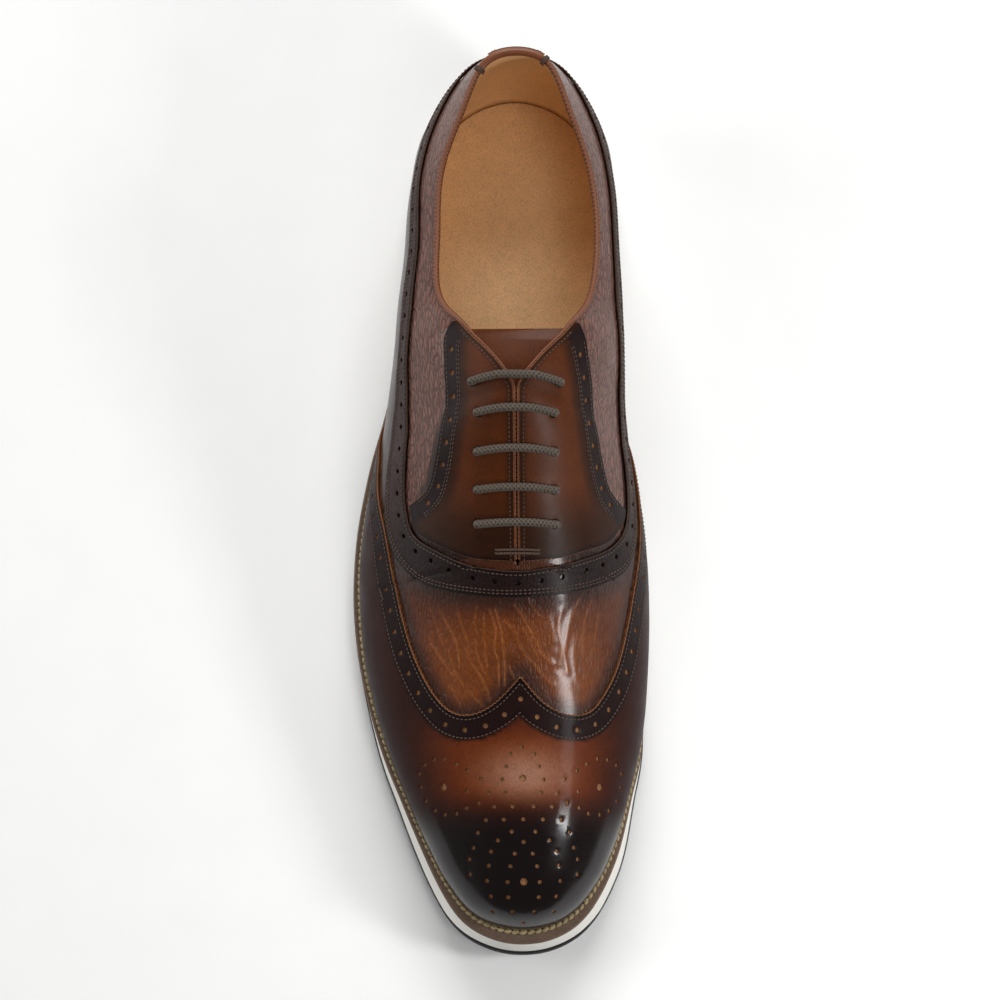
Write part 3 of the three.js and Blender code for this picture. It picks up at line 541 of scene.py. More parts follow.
def panel(name, chart, outline, materials, tone, holes=(), height=OVERLAY, spacing=1.5, raw=0.25,
          thickness=1.0, drop=0.3, base=0.0):
    """A leather panel laid on the last, with holes punched through and a raw cut edge.
    outline is a closed line on the map, holes are (point, radius) and tone(chart, points, edge) gives its
    colours. The face lies height over base, its cut edge drop lower, and raw is the cut edge's width."""
    edge_tree = tree_of(chart.lay(outline, 0))
    closed = np.concatenate((outline[-1:], outline, outline[:1]))
    inner = chart.shift(closed, raw)[1:-1]
    if not inside(inner[:1], outline)[0]:
        inner = chart.shift(closed, -raw)[1:-1]
    rims = [chart.circle(point, radius, HOLE_SIDES) for point, radius in holes]
    collars = [chart.circle(point, radius + COLLAR, HOLE_SIDES) for point, radius in holes]
    fill = fill_points(chart, outline, spacing)
    keep = distances(chart.lay(fill, 0), edge_tree) > spacing * 0.55 + raw
    if holes:
        centres = np.array([point for point, _ in holes])
        hole_tree = tree_of(chart.lay(centres, 0))
        near = [hole_tree.find(p) for p in chart.lay(fill, 0)]
        keep &= np.array([hit[2] > holes[hit[1]][1] + COLLAR + spacing * 0.35 for hit in near])
    points, edges = [fill[keep]], []
    count = int(keep.sum())
    for loop in [outline, inner, *rims, *collars]:
        edges += [(count + i, count + (i + 1) % len(loop)) for i in range(len(loop))]
        points.append(loop)
        count += len(loop)
    flat = np.concatenate(points) * chart.scale
    found = delaunay_2d_cdt([Vector(p) for p in flat], edges, [], 0, 1e-7)
    plan = np.array([tuple(p) for p in found[0]]) / chart.scale
    faces = np.array([f for f in found[2] if len(f) == 3])
    middle = plan[faces].mean(1)
    keep_face = inside(middle, outline)
    for rim in rims:
        low, high = rim.min(0), rim.max(0)
        hit = np.where(((middle >= low) & (middle <= high)).all(1))[0]
        keep_face[hit[inside(middle[hit], rim)]] = False
    faces, middle = faces[keep_face], middle[keep_face]
    real_edge = distances(chart.lay(plan, 0), edge_tree)
    rise = np.full(len(plan), float(height))
    rise -= drop * (real_edge < 0.05)
    if rims:
        rim_tree = tree_of(chart.lay(np.concatenate(rims), 0))
        rise -= RIM_SINK * (distances(chart.lay(plan, 0), rim_tree) < 0.05)
    vertices = to_frame(chart.lay(plan, base + rise))
    a, b, c = (vertices[faces[:, k]] for k in range(3))
    out = chart.lay(middle, 1.0) - chart.lay(middle, 0.0)
    flip = (np.cross(b - a, c - a) * out).sum(1) < 0
    faces[flip] = faces[flip][:, ::-1]
    used = np.unique(faces)
    renumber = np.zeros(len(plan), int)
    renumber[used] = np.arange(len(used))
    obj = mesh_object(name, vertices[used], renumber[faces].tolist(), materials)
    paint(obj, "tone", tone(chart, plan[used], real_edge[used]))
    if len(obj.data.polygons) == len(faces):
        raw_faces = ~inside(middle, inner)
        obj.data.polygons.foreach_set("material_index", raw_faces.astype(np.int32))
    clean_mesh(obj, merge=0.02, outward=False)
    apply_modifier(obj, "SOLIDIFY", thickness=thickness * MM, offset=-1, material_offset_rim=1,
                   use_even_offset=False)
    bpy.ops.object.shade_smooth_by_angle(angle=math.radians(PANEL_SMOOTH))
    return obj


def bead():
    """The form that every stitch copies: a small stretched bead."""
    deselect()
    bpy.ops.mesh.primitive_uv_sphere_add(segments=6, ring_count=4, radius=1)
    obj = bpy.context.active_object
    vertices = np.array([v.co for v in obj.data.vertices])
    faces = [tuple(p.vertices) for p in obj.data.polygons]
    bpy.data.objects.remove(obj)
    return vertices[:, [2, 0, 1]], faces


def stitches(name, rows, material, slot):
    """Rows of stitches joined in one mesh. A row is (chart, line, pitch, length, thread radius, height)."""
    form, faces = bead()
    vertices, all_faces = [], []
    count = 0
    for chart, line, pitch, length, radius, height in rows:
        line = chart.walk(line, pitch, ends=False)
        tangent, normal = chart.tangents(line), chart.normal(line)
        centre = chart.lay(line, height)
        across = np.cross(normal, tangent)
        for c, t, n, a in zip(centre, tangent, normal, across):
            placed = c + (form * (length / 2, radius, radius * FLAT_STITCH)) @ np.array((t, a, n))
            vertices.append(to_frame(placed))
            all_faces += [tuple(i + count for i in f) for f in faces]
            count += len(form)
    dress(mesh_object(name, np.concatenate(vertices), all_faces, [material], 80), slot)


def seam(size, chart, line, height):
    """One row of fine stitches."""
    return chart, line, size["stitch_pitch"], size["stitch_length"], size["thread"], height


def hole_bottoms(name, holes, slot):
    """The pale leather seen in punched holes: one small disc a hole. A hole is (chart, point, radius)."""
    vertices, faces = [], []
    for chart, point, radius in holes:
        ring = chart.circle(point, radius + RIM_SINK, BOTTOM_SIDES)
        placed = to_frame(chart.lay(ring, OVERLAY - HOLE_DEPTH))
        out = to_frame(chart.lay(ring[:1], 1.0))[0] - to_frame(chart.lay(ring[:1], 0.0))[0]
        face = [len(vertices) * BOTTOM_SIDES + i for i in range(BOTTOM_SIDES)]
        if np.cross(placed[2] - placed[0], placed[4] - placed[0]) @ out <= 0:
            face.reverse()
        faces.append(tuple(face))
        vertices.append(placed)
    dress(mesh_object(name, np.concatenate(vertices), faces, [finish("bottom")], 80), slot)


def tube(name, path, radii, sides, materials, up=(0, 0, 1.0)):
    """A cord along a path in the last's millimetres, with a UV map that runs in millimetres along it."""
    path = np.asarray(path, float)
    radii = np.broadcast_to(radii, (len(path),))
    tangent = np.gradient(path, axis=0)
    tangent /= np.linalg.norm(tangent, axis=1)[:, None]
    side = np.cross(tangent, up)
    side /= np.maximum(1e-9, np.linalg.norm(side, axis=1))[:, None]
    high = np.cross(side, tangent)
    turns = np.arange(sides) * 2 * math.pi / sides
    ring = side[:, None] * np.cos(turns)[None, :, None] + high[:, None] * np.sin(turns)[None, :, None]
    points = (path[:, None] + ring * radii[:, None, None]).reshape(-1, 3)
    faces = []
    for i in range(len(path) - 1):
        for k in range(sides):
            n = (k + 1) % sides
            faces.append((i * sides + k, i * sides + n, (i + 1) * sides + n, (i + 1) * sides + k))
    faces.append(tuple(reversed(range(sides))))
    faces.append(tuple((len(path) - 1) * sides + k for k in range(sides)))
    obj = mesh_object(name, to_frame(points), faces, materials, 60)
    clean_mesh(obj)
    length = run_of(path)
    layer = obj.data.uv_layers.new(name="UVMap")
    for face in obj.data.polygons:
        ks = [obj.data.loops[l].vertex_index % sides for l in face.loop_indices]
        wrap = max(ks) - min(ks) > sides / 2
        for l, k in zip(face.loop_indices, ks):
            i = obj.data.loops[l].vertex_index // sides
            layer.data[l].uv = (length[i], (k + (sides if wrap and k < sides / 2 else 0)) / sides)
    return obj


# Materials

def new_material(name, roughness=0.5, coat=0.0, coat_roughness=0.2, specular=0.45):
    material = bpy.data.materials.new(name)
    material.use_nodes = True
    shader = material.node_tree.nodes["Principled BSDF"]
    shader.inputs["Roughness"].default_value = roughness
    shader.inputs["Coat Weight"].default_value = coat
    shader.inputs["Coat Roughness"].default_value = coat_roughness
    shader.inputs["Specular IOR Level"].default_value = specular
    return material, material.node_tree.nodes, material.node_tree.links, shader


def new_group(name, inputs, outputs):
    group = bpy.data.node_groups.new(name, "ShaderNodeTree")
    for label, kind, value in inputs:
        socket = group.interface.new_socket(name=label, in_out="INPUT", socket_type=kind)
        if value is not None:
            socket.default_value = value
    for label, kind in outputs:
        group.interface.new_socket(name=label, in_out="OUTPUT", socket_type=kind)
    return group, group.nodes.new("NodeGroupInput"), group.nodes.new("NodeGroupOutput")


def maths(tree, operation, one, two=None):
    node = tree.nodes.new("ShaderNodeMath")
    node.operation = operation
    for i, value in enumerate((one, two)):
        if value is None:
            continue
        if isinstance(value, (int, float)):
            node.inputs[i].default_value = value
        else:
            tree.links.new(value, node.inputs[i])
    return node.outputs[0]


def mapped(tree, value, low, high, to_low, to_high):
    node = tree.nodes.new("ShaderNodeMapRange")
    for i, number in enumerate((low, high, to_low, to_high), 1):
        node.inputs[i].default_value = number
    tree.links.new(value, node.inputs[0])
    return node.outputs[0]


def noise(tree, vector, scale, detail=3.0, roughness=0.5):
    node = tree.nodes.new("ShaderNodeTexNoise")
    for key, value in (("Scale", scale), ("Detail", detail), ("Roughness", roughness)):
        node.inputs[key].default_value = value
    tree.links.new(vector, node.inputs["Vector"])
    return node.outputs["Fac"]


def vector_maths(tree, operation, one, two):
    """A vector node. one is its first input, two lists (socket, value); a value is a number or a link."""
    node = tree.nodes.new("ShaderNodeVectorMath")
    node.operation = operation
    for socket, value in ((0, one), *two):
        if isinstance(value, bpy.types.NodeSocket):
            tree.links.new(value, node.inputs[socket])
        else:
            node.inputs[socket].default_value = value
    return node.outputs[0]


# Scales of the leather's patterns, in waves per metre, and how deep or strong they are
WARP_SCALE, WARP = 260, 0.0022
PORE_SCALE, PORE_DEPTH = 2600, 0.00002
WRINKLE_SCALE, WRINKLE_GLOW = 330, 7000.0
SHINE_SCALE, WAX = 90, 0.2


def leather_group():
    """Leather's skin: pebbles or wrinkles, pores, mottled dye, painted shade in the pebbles' crevices and
    painted sheen on their tops, and the shine that goes with them.
    """
    group, given, result = new_group("leather_skin", (
        ("Tone", "NodeSocketColor", (0.2, 0.1, 0.05, 1)),
        ("Pebbles per Metre", "NodeSocketFloat", 700.0),
        ("Stretch", "NodeSocketVector", (1.0, 0.5, 1.0)),
        ("Grain", "NodeSocketFloat", 1.0),
        ("Pebble Depth", "NodeSocketFloat", 0.0001),
        ("Wrinkle Depth", "NodeSocketFloat", 0.0),
        ("Mottle", "NodeSocketFloat", 0.25),
        ("Shine Low", "NodeSocketFloat", 0.32),
        ("Shine High", "NodeSocketFloat", 0.5),
        ("Polish", "NodeSocketFloat", 0.0),
    ), (("Color", "NodeSocketColor"), ("Roughness", "NodeSocketFloat"), ("Normal", "NodeSocketVector")))
    def multiply(one, two):
        return maths(group, "MULTIPLY", one, two)

    def add(one, two):
        return maths(group, "ADD", one, two)

    link, take = group.links.new, given.outputs
    place = group.nodes.new("ShaderNodeTexCoord").outputs["Object"]
    stretched = vector_maths(group, "MULTIPLY", place, ((1, take["Stretch"]),))
    warp = group.nodes.new("ShaderNodeTexNoise")
    warp.inputs["Scale"].default_value = WARP_SCALE
    link(stretched, warp.inputs["Vector"])
    warped = vector_maths(group, "MULTIPLY_ADD", warp.outputs["Color"], ((1, (WARP,) * 3), (2, stretched)))
    cells = group.nodes.new("ShaderNodeTexVoronoi")
    cells.feature = "DISTANCE_TO_EDGE"
    link(warped, cells.inputs["Vector"])
    link(take["Pebbles per Metre"], cells.inputs["Scale"])
    pebble = mapped(group, cells.outputs["Distance"], 0.0, 0.22, 0.0, 1.0)
    pores = noise(group, place, PORE_SCALE, 2.0)
    wrinkle = group.nodes.new("ShaderNodeTexNoise")
    wrinkle.noise_type = "RIDGED_MULTIFRACTAL"
    for key, value in (("Scale", WRINKLE_SCALE), ("Detail", 4), ("Distortion", 0.6)):
        wrinkle.inputs[key].default_value = value
    link(stretched, wrinkle.inputs["Vector"])
    fold = mapped(group, wrinkle.outputs["Fac"], 0.3, 1.6, 1.0, 0.0)
    grain = multiply(multiply(pebble, take["Pebble Depth"]), take["Grain"])
    height = add(grain, add(multiply(fold, take["Wrinkle Depth"]), multiply(pores, PORE_DEPTH)))
    bump = group.nodes.new("ShaderNodeBump")
    bump.inputs["Strength"].default_value = 1.0
    bump.inputs["Distance"].default_value = 1.0
    link(height, bump.inputs["Height"])
    link(bump.outputs["Normal"], result.inputs["Normal"])
    dye = add(noise(group, place, 26, 4.0, 0.6), noise(group, place, 240, 3.0, 0.6))
    spread = multiply(maths(group, "SUBTRACT", dye, 1.0), take["Mottle"])
    # Painted shade and sheen: the pebbles' crevices are darkened and their tops lightened.
    pebble_shade_and_sheen = mapped(group, pebble, 0.0, 0.6, 0.55, -0.3)
    crease = maths(group, "SUBTRACT", 1.0, multiply(pebble_shade_and_sheen, take["Grain"]))
    paler = mapped(group, wrinkle.outputs["Fac"], 1.0, 1.9, 0.0, 1.0)
    lines = multiply(multiply(paler, take["Wrinkle Depth"]), WRINKLE_GLOW)
    strength = multiply(add(add(spread, 1.0), lines), crease)
    link(vector_maths(group, "SCALE", take["Tone"], (("Scale", strength),)), result.inputs["Color"])
    shine = group.nodes.new("ShaderNodeMapRange")
    link(noise(group, place, SHINE_SCALE, 4.0, 0.6), shine.inputs[0])
    shine.inputs[1].default_value, shine.inputs[2].default_value = 0.3, 0.7
    link(take["Shine Low"], shine.inputs[3])
    link(take["Shine High"], shine.inputs[4])
    waxed = maths(group, "SUBTRACT", shine.outputs[0], multiply(take["Polish"], WAX))
    link(waxed, result.inputs["Roughness"])
    return group


def leather(name, coat=0.25, coat_roughness=0.25, colour=None, grain=None, polish=None,
            specular=0.3, **values):
    """A leather that takes its colour from the piece's own tone, or one colour all over."""
    material, nodes, links, shader = new_material(name, coat=coat, coat_roughness=coat_roughness,
                                                  specular=specular)
    group = nodes.new("ShaderNodeGroup")
    group.node_tree = bpy.data.node_groups.get("leather_skin") or leather_group()
    for key, value in values.items():
        group.inputs[key.replace("_", " ").title().replace("Per", "per")].default_value = value
    if colour is None:
        tone = nodes.new("ShaderNodeAttribute")
        tone.attribute_name = "tone"
        links.new(tone.outputs["Color"], group.inputs["Tone"])
    else:
        group.inputs["Tone"].default_value = (*linear(colour), 1)
    if polish:
        wax = nodes.new("ShaderNodeAttribute")
        wax.attribute_name = polish
        links.new(wax.outputs["Fac"], group.inputs["Polish"])
        waxed = maths(material.node_tree, "MULTIPLY", wax.outputs["Fac"], coat)
        links.new(waxed, shader.inputs["Coat Weight"])
    if grain:
        amount = nodes.new("ShaderNodeAttribute")
        amount.attribute_name = grain
        links.new(amount.outputs["Fac"], group.inputs["Grain"])
    else:
        group.inputs["Grain"].default_value = 1.0 if values.get("pebble_depth", 0) > 0.00003 else 0.3
    links.new(group.outputs["Color"], shader.inputs["Base Color"])
    links.new(group.outputs["Roughness"], shader.inputs["Roughness"])
    links.new(group.outputs["Normal"], shader.inputs["Normal"])
    return material


def dyed(parts, colour, shade, height, depth):
    """Ends a plain material: one colour scaled by a pattern, and a bump."""
    material, nodes, links, shader = parts
    tone = vector_maths(material.node_tree, "SCALE", tuple(linear(colour)), (("Scale", shade),))
    links.new(tone, shader.inputs["Base Color"])
    bump = nodes.new("ShaderNodeBump")
    bump.inputs["Distance"].default_value = depth
    links.new(height, bump.inputs["Height"])
    links.new(bump.outputs["Normal"], shader.inputs["Normal"])
    return material


def plain_surface(name, colour, roughness, speckle, grain, depth):
    """Rubber, foam or thread: one colour with fine uneven dye and a fine uneven surface."""
    parts = new_material(name, roughness=roughness)
    tree = parts[0].node_tree
    place = tree.nodes.new("ShaderNodeTexCoord").outputs["Object"]
    shade = mapped(tree, noise(tree, place, grain / 6, 4.0), 0.3, 0.7, 1 - speckle, 1 + speckle)
    return dyed(parts, colour, shade, noise(tree, place, grain, 3.0), depth)


def braid(name, colour, pitch, strands, depth, roughness=0.7, contrast=0.45):
    """A woven or oversewn cord: two sets of slanting ribs on its UV map."""
    parts = new_material(name, roughness=roughness)
    tree = parts[0].node_tree
    uv = tree.nodes.new("ShaderNodeSeparateXYZ")
    tree.links.new(tree.nodes.new("ShaderNodeTexCoord").outputs["UV"], uv.inputs[0])
    along = maths(tree, "MULTIPLY", uv.outputs["X"], 2 * math.pi / pitch)
    round_ = maths(tree, "MULTIPLY", uv.outputs["Y"], 2 * math.pi * strands)
    ribs = [maths(tree, "SINE", maths(tree, way, along, round_)) for way in ("ADD", "SUBTRACT")]
    rib = maths(tree, "MAXIMUM", *ribs)
    return dyed(parts, colour, mapped(tree, rib, -0.6, 1.0, 1 - contrast, 1 + contrast / 2), rib, depth)


MATERIALS = {}


# Leathers as name: (material, colour and its strength or None for the piece's own tones, settings). RAW is a
# cut edge and SMOOTH a fine undyed face
RAW = dict(coat=0.0, pebbles_per_metre=1800.0, pebble_depth=0.00004, mottle=0.7, shine_low=0.55,
           shine_high=0.75)
SMOOTH = dict(coat=0.0, pebbles_per_metre=1500.0, pebble_depth=0.00002)
LEATHERS = {
    "grained": ("grained_leather", None, dict(
        coat=0.3, coat_roughness=0.15, grain="grain", specular=0.2, stretch=(1.0, 0.27, 1.0),
        pebbles_per_metre=760.0, pebble_depth=0.00042, wrinkle_depth=0.00006, mottle=0.45, shine_low=0.38,
        shine_high=0.5)),
    "facing": ("facing_leather", None, dict(
        coat=0.06, coat_roughness=0.3, pebbles_per_metre=1300.0, specular=0.12, pebble_depth=0.00001,
        mottle=0.4, shine_low=0.4, shine_high=0.52)),
    "band": ("band_leather", None, dict(
        coat=0.08, coat_roughness=0.28, stretch=(1.0, 0.6, 1.0), specular=0.14, pebbles_per_metre=900.0,
        pebble_depth=0.00006, mottle=0.4, shine_low=0.4, shine_high=0.55)),
    "cap": ("cap_leather", None, dict(
        coat=0.6, coat_roughness=0.12, polish="polish", specular=0.08, pebbles_per_metre=1300.0,
        pebble_depth=0.000008, mottle=0.45, shine_low=0.42, shine_high=0.56)),
    "tongue": ("tongue_leather", None, dict(
        coat=0.03, specular=0.15, pebbles_per_metre=1200.0, pebble_depth=0.00001, mottle=0.35, shine_low=0.4,
        shine_high=0.55)),
    "bottom": ("hole_bottom", ("hole", 1), dict(RAW, pebble_depth=0.00002, mottle=0.5)),
    "dark_raw": ("dark_raw_edge", ("edge", 0.55), RAW),
    "raw": ("raw_edge", ("edge", 1), RAW),
    "lining": ("lining_leather", ("lining", 1), dict(SMOOTH, mottle=0.2, shine_low=0.5, shine_high=0.65)),
    "insole": ("insole_leather", ("lining", 1), dict(SMOOTH, mottle=0.25, shine_low=0.55, shine_high=0.7)),
    "welt": ("welt_leather", ("welt", 1), dict(
        coat=0.05, pebbles_per_metre=1100.0, pebble_depth=0.00003, mottle=0.5, shine_low=0.45,
        shine_high=0.65)),
    "tab": ("tab_leather", ("binding", 1.05), dict(SMOOTH, coat=0.2, mottle=0.3, shine_low=0.35,
                                                   shine_high=0.5)),
}
# Cords as name: (material, colour, rib pitch, strands, bump depth, roughness, contrast)
BRAIDS = {
    "binding": ("binding_leather", "binding", 1.5, 1, 0.0001, 0.45, 0.4),
    "tack": ("tack_cord", "thread", 1.2, 2, 0.0001),
    "lace": ("lace_cord", "lace", 1.4, 4, 0.0002),
}
# Plain surfaces as name: (material, colour, roughness, speckle, grain, bump depth)
PLAIN = {
    "thread": ("seam_thread", "thread", 0.6, 0.3, 3000, 0.00003),
    "welt_thread": ("welt_thread", "welt_thread", 0.7, 0.3, 4000, 0.0001),
    "foam": ("white_foam", "midsole", 0.5, 0.02, 1800, 0.00002),
    "rubber": ("black_rubber", "outsole", 0.6, 0.2, 1500, 0.00004),
    "floor": ("pale_floor", "floor", 0.9, 0.01, 300, 0.0),
}


def finish(name):
    """Each material is made once, when a piece first asks for it."""
    if name not in MATERIALS:
        if name in LEATHERS:
            label, dye, values = LEATHERS[name]
            if dye:
                values = dict(values, colour=colours_of(dye[0])[0] * dye[1])
            MATERIALS[name] = leather(label, **values)
        else:
            maker, table = (braid, BRAIDS) if name in BRAIDS else (plain_surface, PLAIN)
            label, colour, *values = table[name]
            MATERIALS[name] = maker(label, colours_of(colour)[0], *values)
    return MATERIALS[name]


# Colours of the leather, place by place

def colours_of(*names):
    group = bpy.context.scene.brogue_colours
    return [255 * np.array(getattr(group, name)) for name in names]


def from_line(chart, points, line):
    """Real distance of points to a line on the map."""
    return distances(chart.lay(points, 0), tree_of(chart.lay(chart.walk(line, 0.5), 0)))


def spread(colour, points):
    return np.repeat(np.asarray(colour, float)[None], len(points), 0)


def inset_depth(u):
    """How far down the side the inset above the band reaches."""
    return np.interp(u, (0, 2.4, 4.4, 5.9, 6.9, 7.9, 8.5, 9.25), (0.4, 0.36, 0.28, 0.5, 0.66, 0.66, 0.6, 0.2))


def facing_reach(side):
    """The station where the facing starts, by share of the way down the side."""
    return np.interp(side, (0.03, 0.18, 0.3, 0.38, 0.42, 0.5), (5.8, 6.15, 6.65, 7.1, 7.5, 7.85))


def under_facing(side, u):
    """Which points of the shell lie under a facing or just below its foot."""
    return (u > facing_reach(side) + 0.12) & (u < 8.75) & (side < 0.5)


def base_tones(points):
    """Tones of vamp, quarters and side insets, and of what shows through the holes of the panels on them, with
    painted shade below the facings and under the band.
    """
    vamp, glow, dark, quarter, inset, under, facing = colours_of(
        "vamp", "vamp_glow", "vamp_dark", "quarter", "inset", "under", "facing")
    s, u = points[:, 0], points[:, 1]
    side = np.abs(s)
    wing = np.concatenate(wing_line())
    to_wing, to_band = from_line(WHOLE, points, wing), from_line(WHOLE, points, curve(BAND_LOWER))
    tones = blend(quarter, vamp, smooth(8.2, 9.1, u) * smooth(0.82, 0.6, side))
    tones = blend(tones, glow, smooth(9.2, 9.8, u) * smooth(0.55, 0.2, np.abs(side - 0.2) * 1.6) * 0.8)
    tones = blend(tones, dark, smooth(7.0, 0.5, to_wing) * (u > 7.6) * 0.85)
    tones = blend(tones, dark, smooth(9.0, 1.0, to_band) * (u > 7.6) * 0.8)
    tones = blend(tones, dark, smooth(0.22, 0.02, side) * smooth(9.7, 10.4, u) * 0.6)
    tones = blend(tones, inset, (side < inset_depth(u) - 0.04) & (u < 8.3))
    tones = blend(tones, under, inside(points, np.concatenate((wing, ((1, TIP), (-1, TIP))))))
    # Under the facings and in the strip below their foot: the facing's colour at half strength, painted shade
    # in the gap above the band.
    tones = blend(tones, facing * 0.5, under_facing(side, u))
    # Under the band: the quarter's colour darkened, painted shade in the band's holes.
    return blend(tones, quarter * 0.4, inside(points, np.concatenate((curve(BAND_UPPER), curve(BAND_LOWER)))))


# Tones of a panel from its map, its points and their distance to its edge

def cap_tones(chart, points, edge):
    cap, glow, toe, border, flank, haze = colours_of("cap", "cap_glow", "toe", "border", "flank", "haze")
    s, u = points[:, 0], points[:, 1]
    side = np.abs(s)
    to_wing = from_line(chart, points, np.concatenate(wing_line()))
    warm = smooth(10.5, 11.3, u) * smooth(12.9, 11.9, u) * smooth(0.72, 0.3, side)
    tones = blend(spread(cap, points), glow, warm)
    # Painted highlight: a broad pale sheen over the medallion, as light from above would give.
    medallion_highlight_mask = smooth(1.0, 0.0, np.hypot((s - 0.02) / 0.42, (u - 11.75) / 0.75))
    tones = blend(tones, haze, 0.85 * medallion_highlight_mask)
    tones = blend(tones, flank, smooth(0.62, 0.85, side))
    tones = blend(tones, toe, smooth(11.9, 13.0, u) * smooth(1.0, 0.8, side))
    tones = blend(tones, border, smooth(9.2, 7.9, to_wing))
    shade = np.maximum(smooth(2.2, 0.7, to_wing), 0.6 * smooth(1.2, 0.3, np.abs(to_wing - 8.0)))
    return blend(tones, border * 0.55, shade)


def facing_tones(chart, points, edge):
    middle, border = colours_of("facing", "border")
    side = -1 if points[:, 0].mean() < 0 else 1
    to_outer = from_line(chart, points, curve(FACING_OUTER[side]))
    to_foot = from_line(chart, points, curve(FACING_FOOT[side]))
    tones = blend(spread(middle, points), middle * 0.55, smooth(26, 4, to_foot))
    tones = blend(tones, middle * 0.6, smooth(12, 8, to_outer))
    tones = blend(tones, border, smooth(7.6, 6.4, to_outer))
    tones = blend(tones, middle * 0.6, smooth(3.2, 0.6, np.abs(points[:, 0]) * 60))
    return blend(tones, border * 0.55, smooth(1.8, 0.5, np.minimum(to_outer, to_foot)))


def band_tones(chart, points, edge):
    band, border = colours_of("band", "border")
    tones = blend(spread(band, points), border, smooth(7.4, 8.6, points[:, 1]))
    return blend(tones, border * 0.5, smooth(2.0, 0.5, edge))


def heel_tones(chart, points, edge):
    band, binding = colours_of("band", "binding")
    tones = blend(spread(band, points), binding * 0.6, smooth(0.84, 0.97, points[:, 1]))
    return blend(tones, band * 0.5, smooth(1.8, 0.5, edge) * (points[:, 1] < 0.9))


# Lines that panels, holes and stitches share

def wing_line():
    return curve(WING_LATERAL), curve(WING_MEDIAL)


def hole_row(chart, line, offset, pitch, radius):
    shifted = chart.shift(chart.walk(line, 1.0), offset)
    return [(p, radius) for p in chart.walk(shifted, pitch, ends=False)]


def from_ridge(line, offset):
    """The two halves of a line that crosses the ridge, moved sideways and running out from the ridge."""
    halves = []
    for side in (-1, 1):
        own = line[line[:, 0] * side >= 0]
        half = WHOLE.shift(WHOLE.walk(own, 0.5), offset)
        half = half[half[:, 0] * side > 0]
        half = half[::-1] if side < 0 else half
        start = np.array(((0.0, half[0, 1]),))
        halves.append(np.concatenate((start, half)))
    return halves


def hole_pairs(line, offset, pitch, radius):
    """Holes at an even pitch both ways from one on the ridge."""
    found = []
    for k, half in enumerate(from_ridge(line, offset)):
        walked = run_of(WHOLE.lay(half, 0))
        stops = np.arange(pitch * k, walked[-1] - pitch / 3, pitch)
        found += [(np.interp(t, walked, half[:, 0]), np.interp(t, walked, half[:, 1])) for t in stops]
    kept, laid = [], []
    for point, real in zip(found, WHOLE.lay(np.array(found), 0)):
        if all(np.linalg.norm(real - other) > pitch * 0.6 for other in laid):
            kept.append((point, radius))
            laid.append(real)
    return kept


def seam_rows(size, line, *offsets):
    return [seam(size, WHOLE, half, OVERLAY + SEAM_RISE) for offset in offsets
            for half in from_ridge(line, offset)]


def eyelets(side):
    rows = FIRST_EYELET + (LAST_EYELET - FIRST_EYELET) * np.arange(EYELET_ROWS) / (EYELET_ROWS - 1)
    return [(share_at(u, EYELET_SPREAD, side), u) for u in rows]


def ladder(*lines):
    """Joins open lines to one closed outline."""
    return np.concatenate([np.asarray(line)[:-1] for line in lines])


# Sole rings

def edge_share(at, column):
    i = np.clip(np.searchsorted(EDGE[:, 0], at, side="left") - 1, 0, len(EDGE) - 2)
    return EDGE[i, column] + (EDGE[i + 1, column] - EDGE[i, column]) * smooth(0, 1, (at - EDGE[i, 0])
                                                                         / (EDGE[i + 1, 0] - EDGE[i, 0]))


LOOP_STEPS = 240
# A welt stitch in millimetres: half sizes, slant, and place on the welt beside the upper
WELT_BEAD, WELT_LEAN, WELT_INSET, WELT_SHARE = (1.4, 0.85, 0.7), 0.28, 1.7, 0.55


def loop_along():
    """Stations all round, from the toe along the lateral side to the heel and back along the medial side."""
    half = np.concatenate((np.linspace(0, 12, LOOP_STEPS // 2, endpoint=False),
                           np.linspace(12, TIP, LOOP_STEPS // 2)))
    return np.concatenate((-half[::-1], half[1:-1]))


def feather_ring(along):
    points = last_point(along, np.zeros(len(along)))
    around = last_point(along + STEP, np.zeros(len(along))) - last_point(along - STEP, np.zeros(len(along)))
    out = np.stack((-around[:, 1], around[:, 0], np.zeros(len(along))), 1)
    out = np.where((np.abs(along) >= TIP - 1e-6)[:, None], (0, -1, 0), out)
    return points, out / np.linalg.norm(out, axis=1)[:, None]


def welt_margin(at, along):
    lateral, medial = SOLE["margin"] * edge_share(at, 1), SOLE["margin"] * edge_share(at, 2)
    heel = smooth(-WELT_BLEND, WELT_BLEND, along)
    toe = 0.5 * smooth(TIP - WELT_BLEND, TIP, np.abs(along))
    return lateral + (medial - lateral) * np.where(along < 0, heel + toe, heel - toe)


def sole_ring(along, margin, level):
    points, out = feather_ring(along)
    at = np.clip(-points[:, 1] / LAST_LENGTH, 0, 1)
    moved = points + out * np.reshape(margin(at, along), (-1, 1))
    moved[:, 2] = level(at)
    return moved


def flare_margin(at, along):
    return welt_margin(at, along) + SOLE["flare"] * edge_share(at, 3)


# How far the welt reaches to the solids' edge, and how much of the white shows beyond it, lateral and medial
WELT_REACH = np.array(((0.25, 0, 0), (0.45, 0.9, 0.4), (0.62, 0.95, 0.5), (0.75, 0.5, 0.45),
                       (0.88, 0.28, 0.3), (1.0, 0.22, 0.22)))
WHITE_SHOWN = np.array(((0.25, 0.9, 0.9), (0.42, 0.1, 0.1), (0.62, 0.0, 0.0), (0.72, 0.5, 0.1),
                        (0.82, 0.9, 0.6), (0.92, 1, 1), (1.0, 1, 1)))


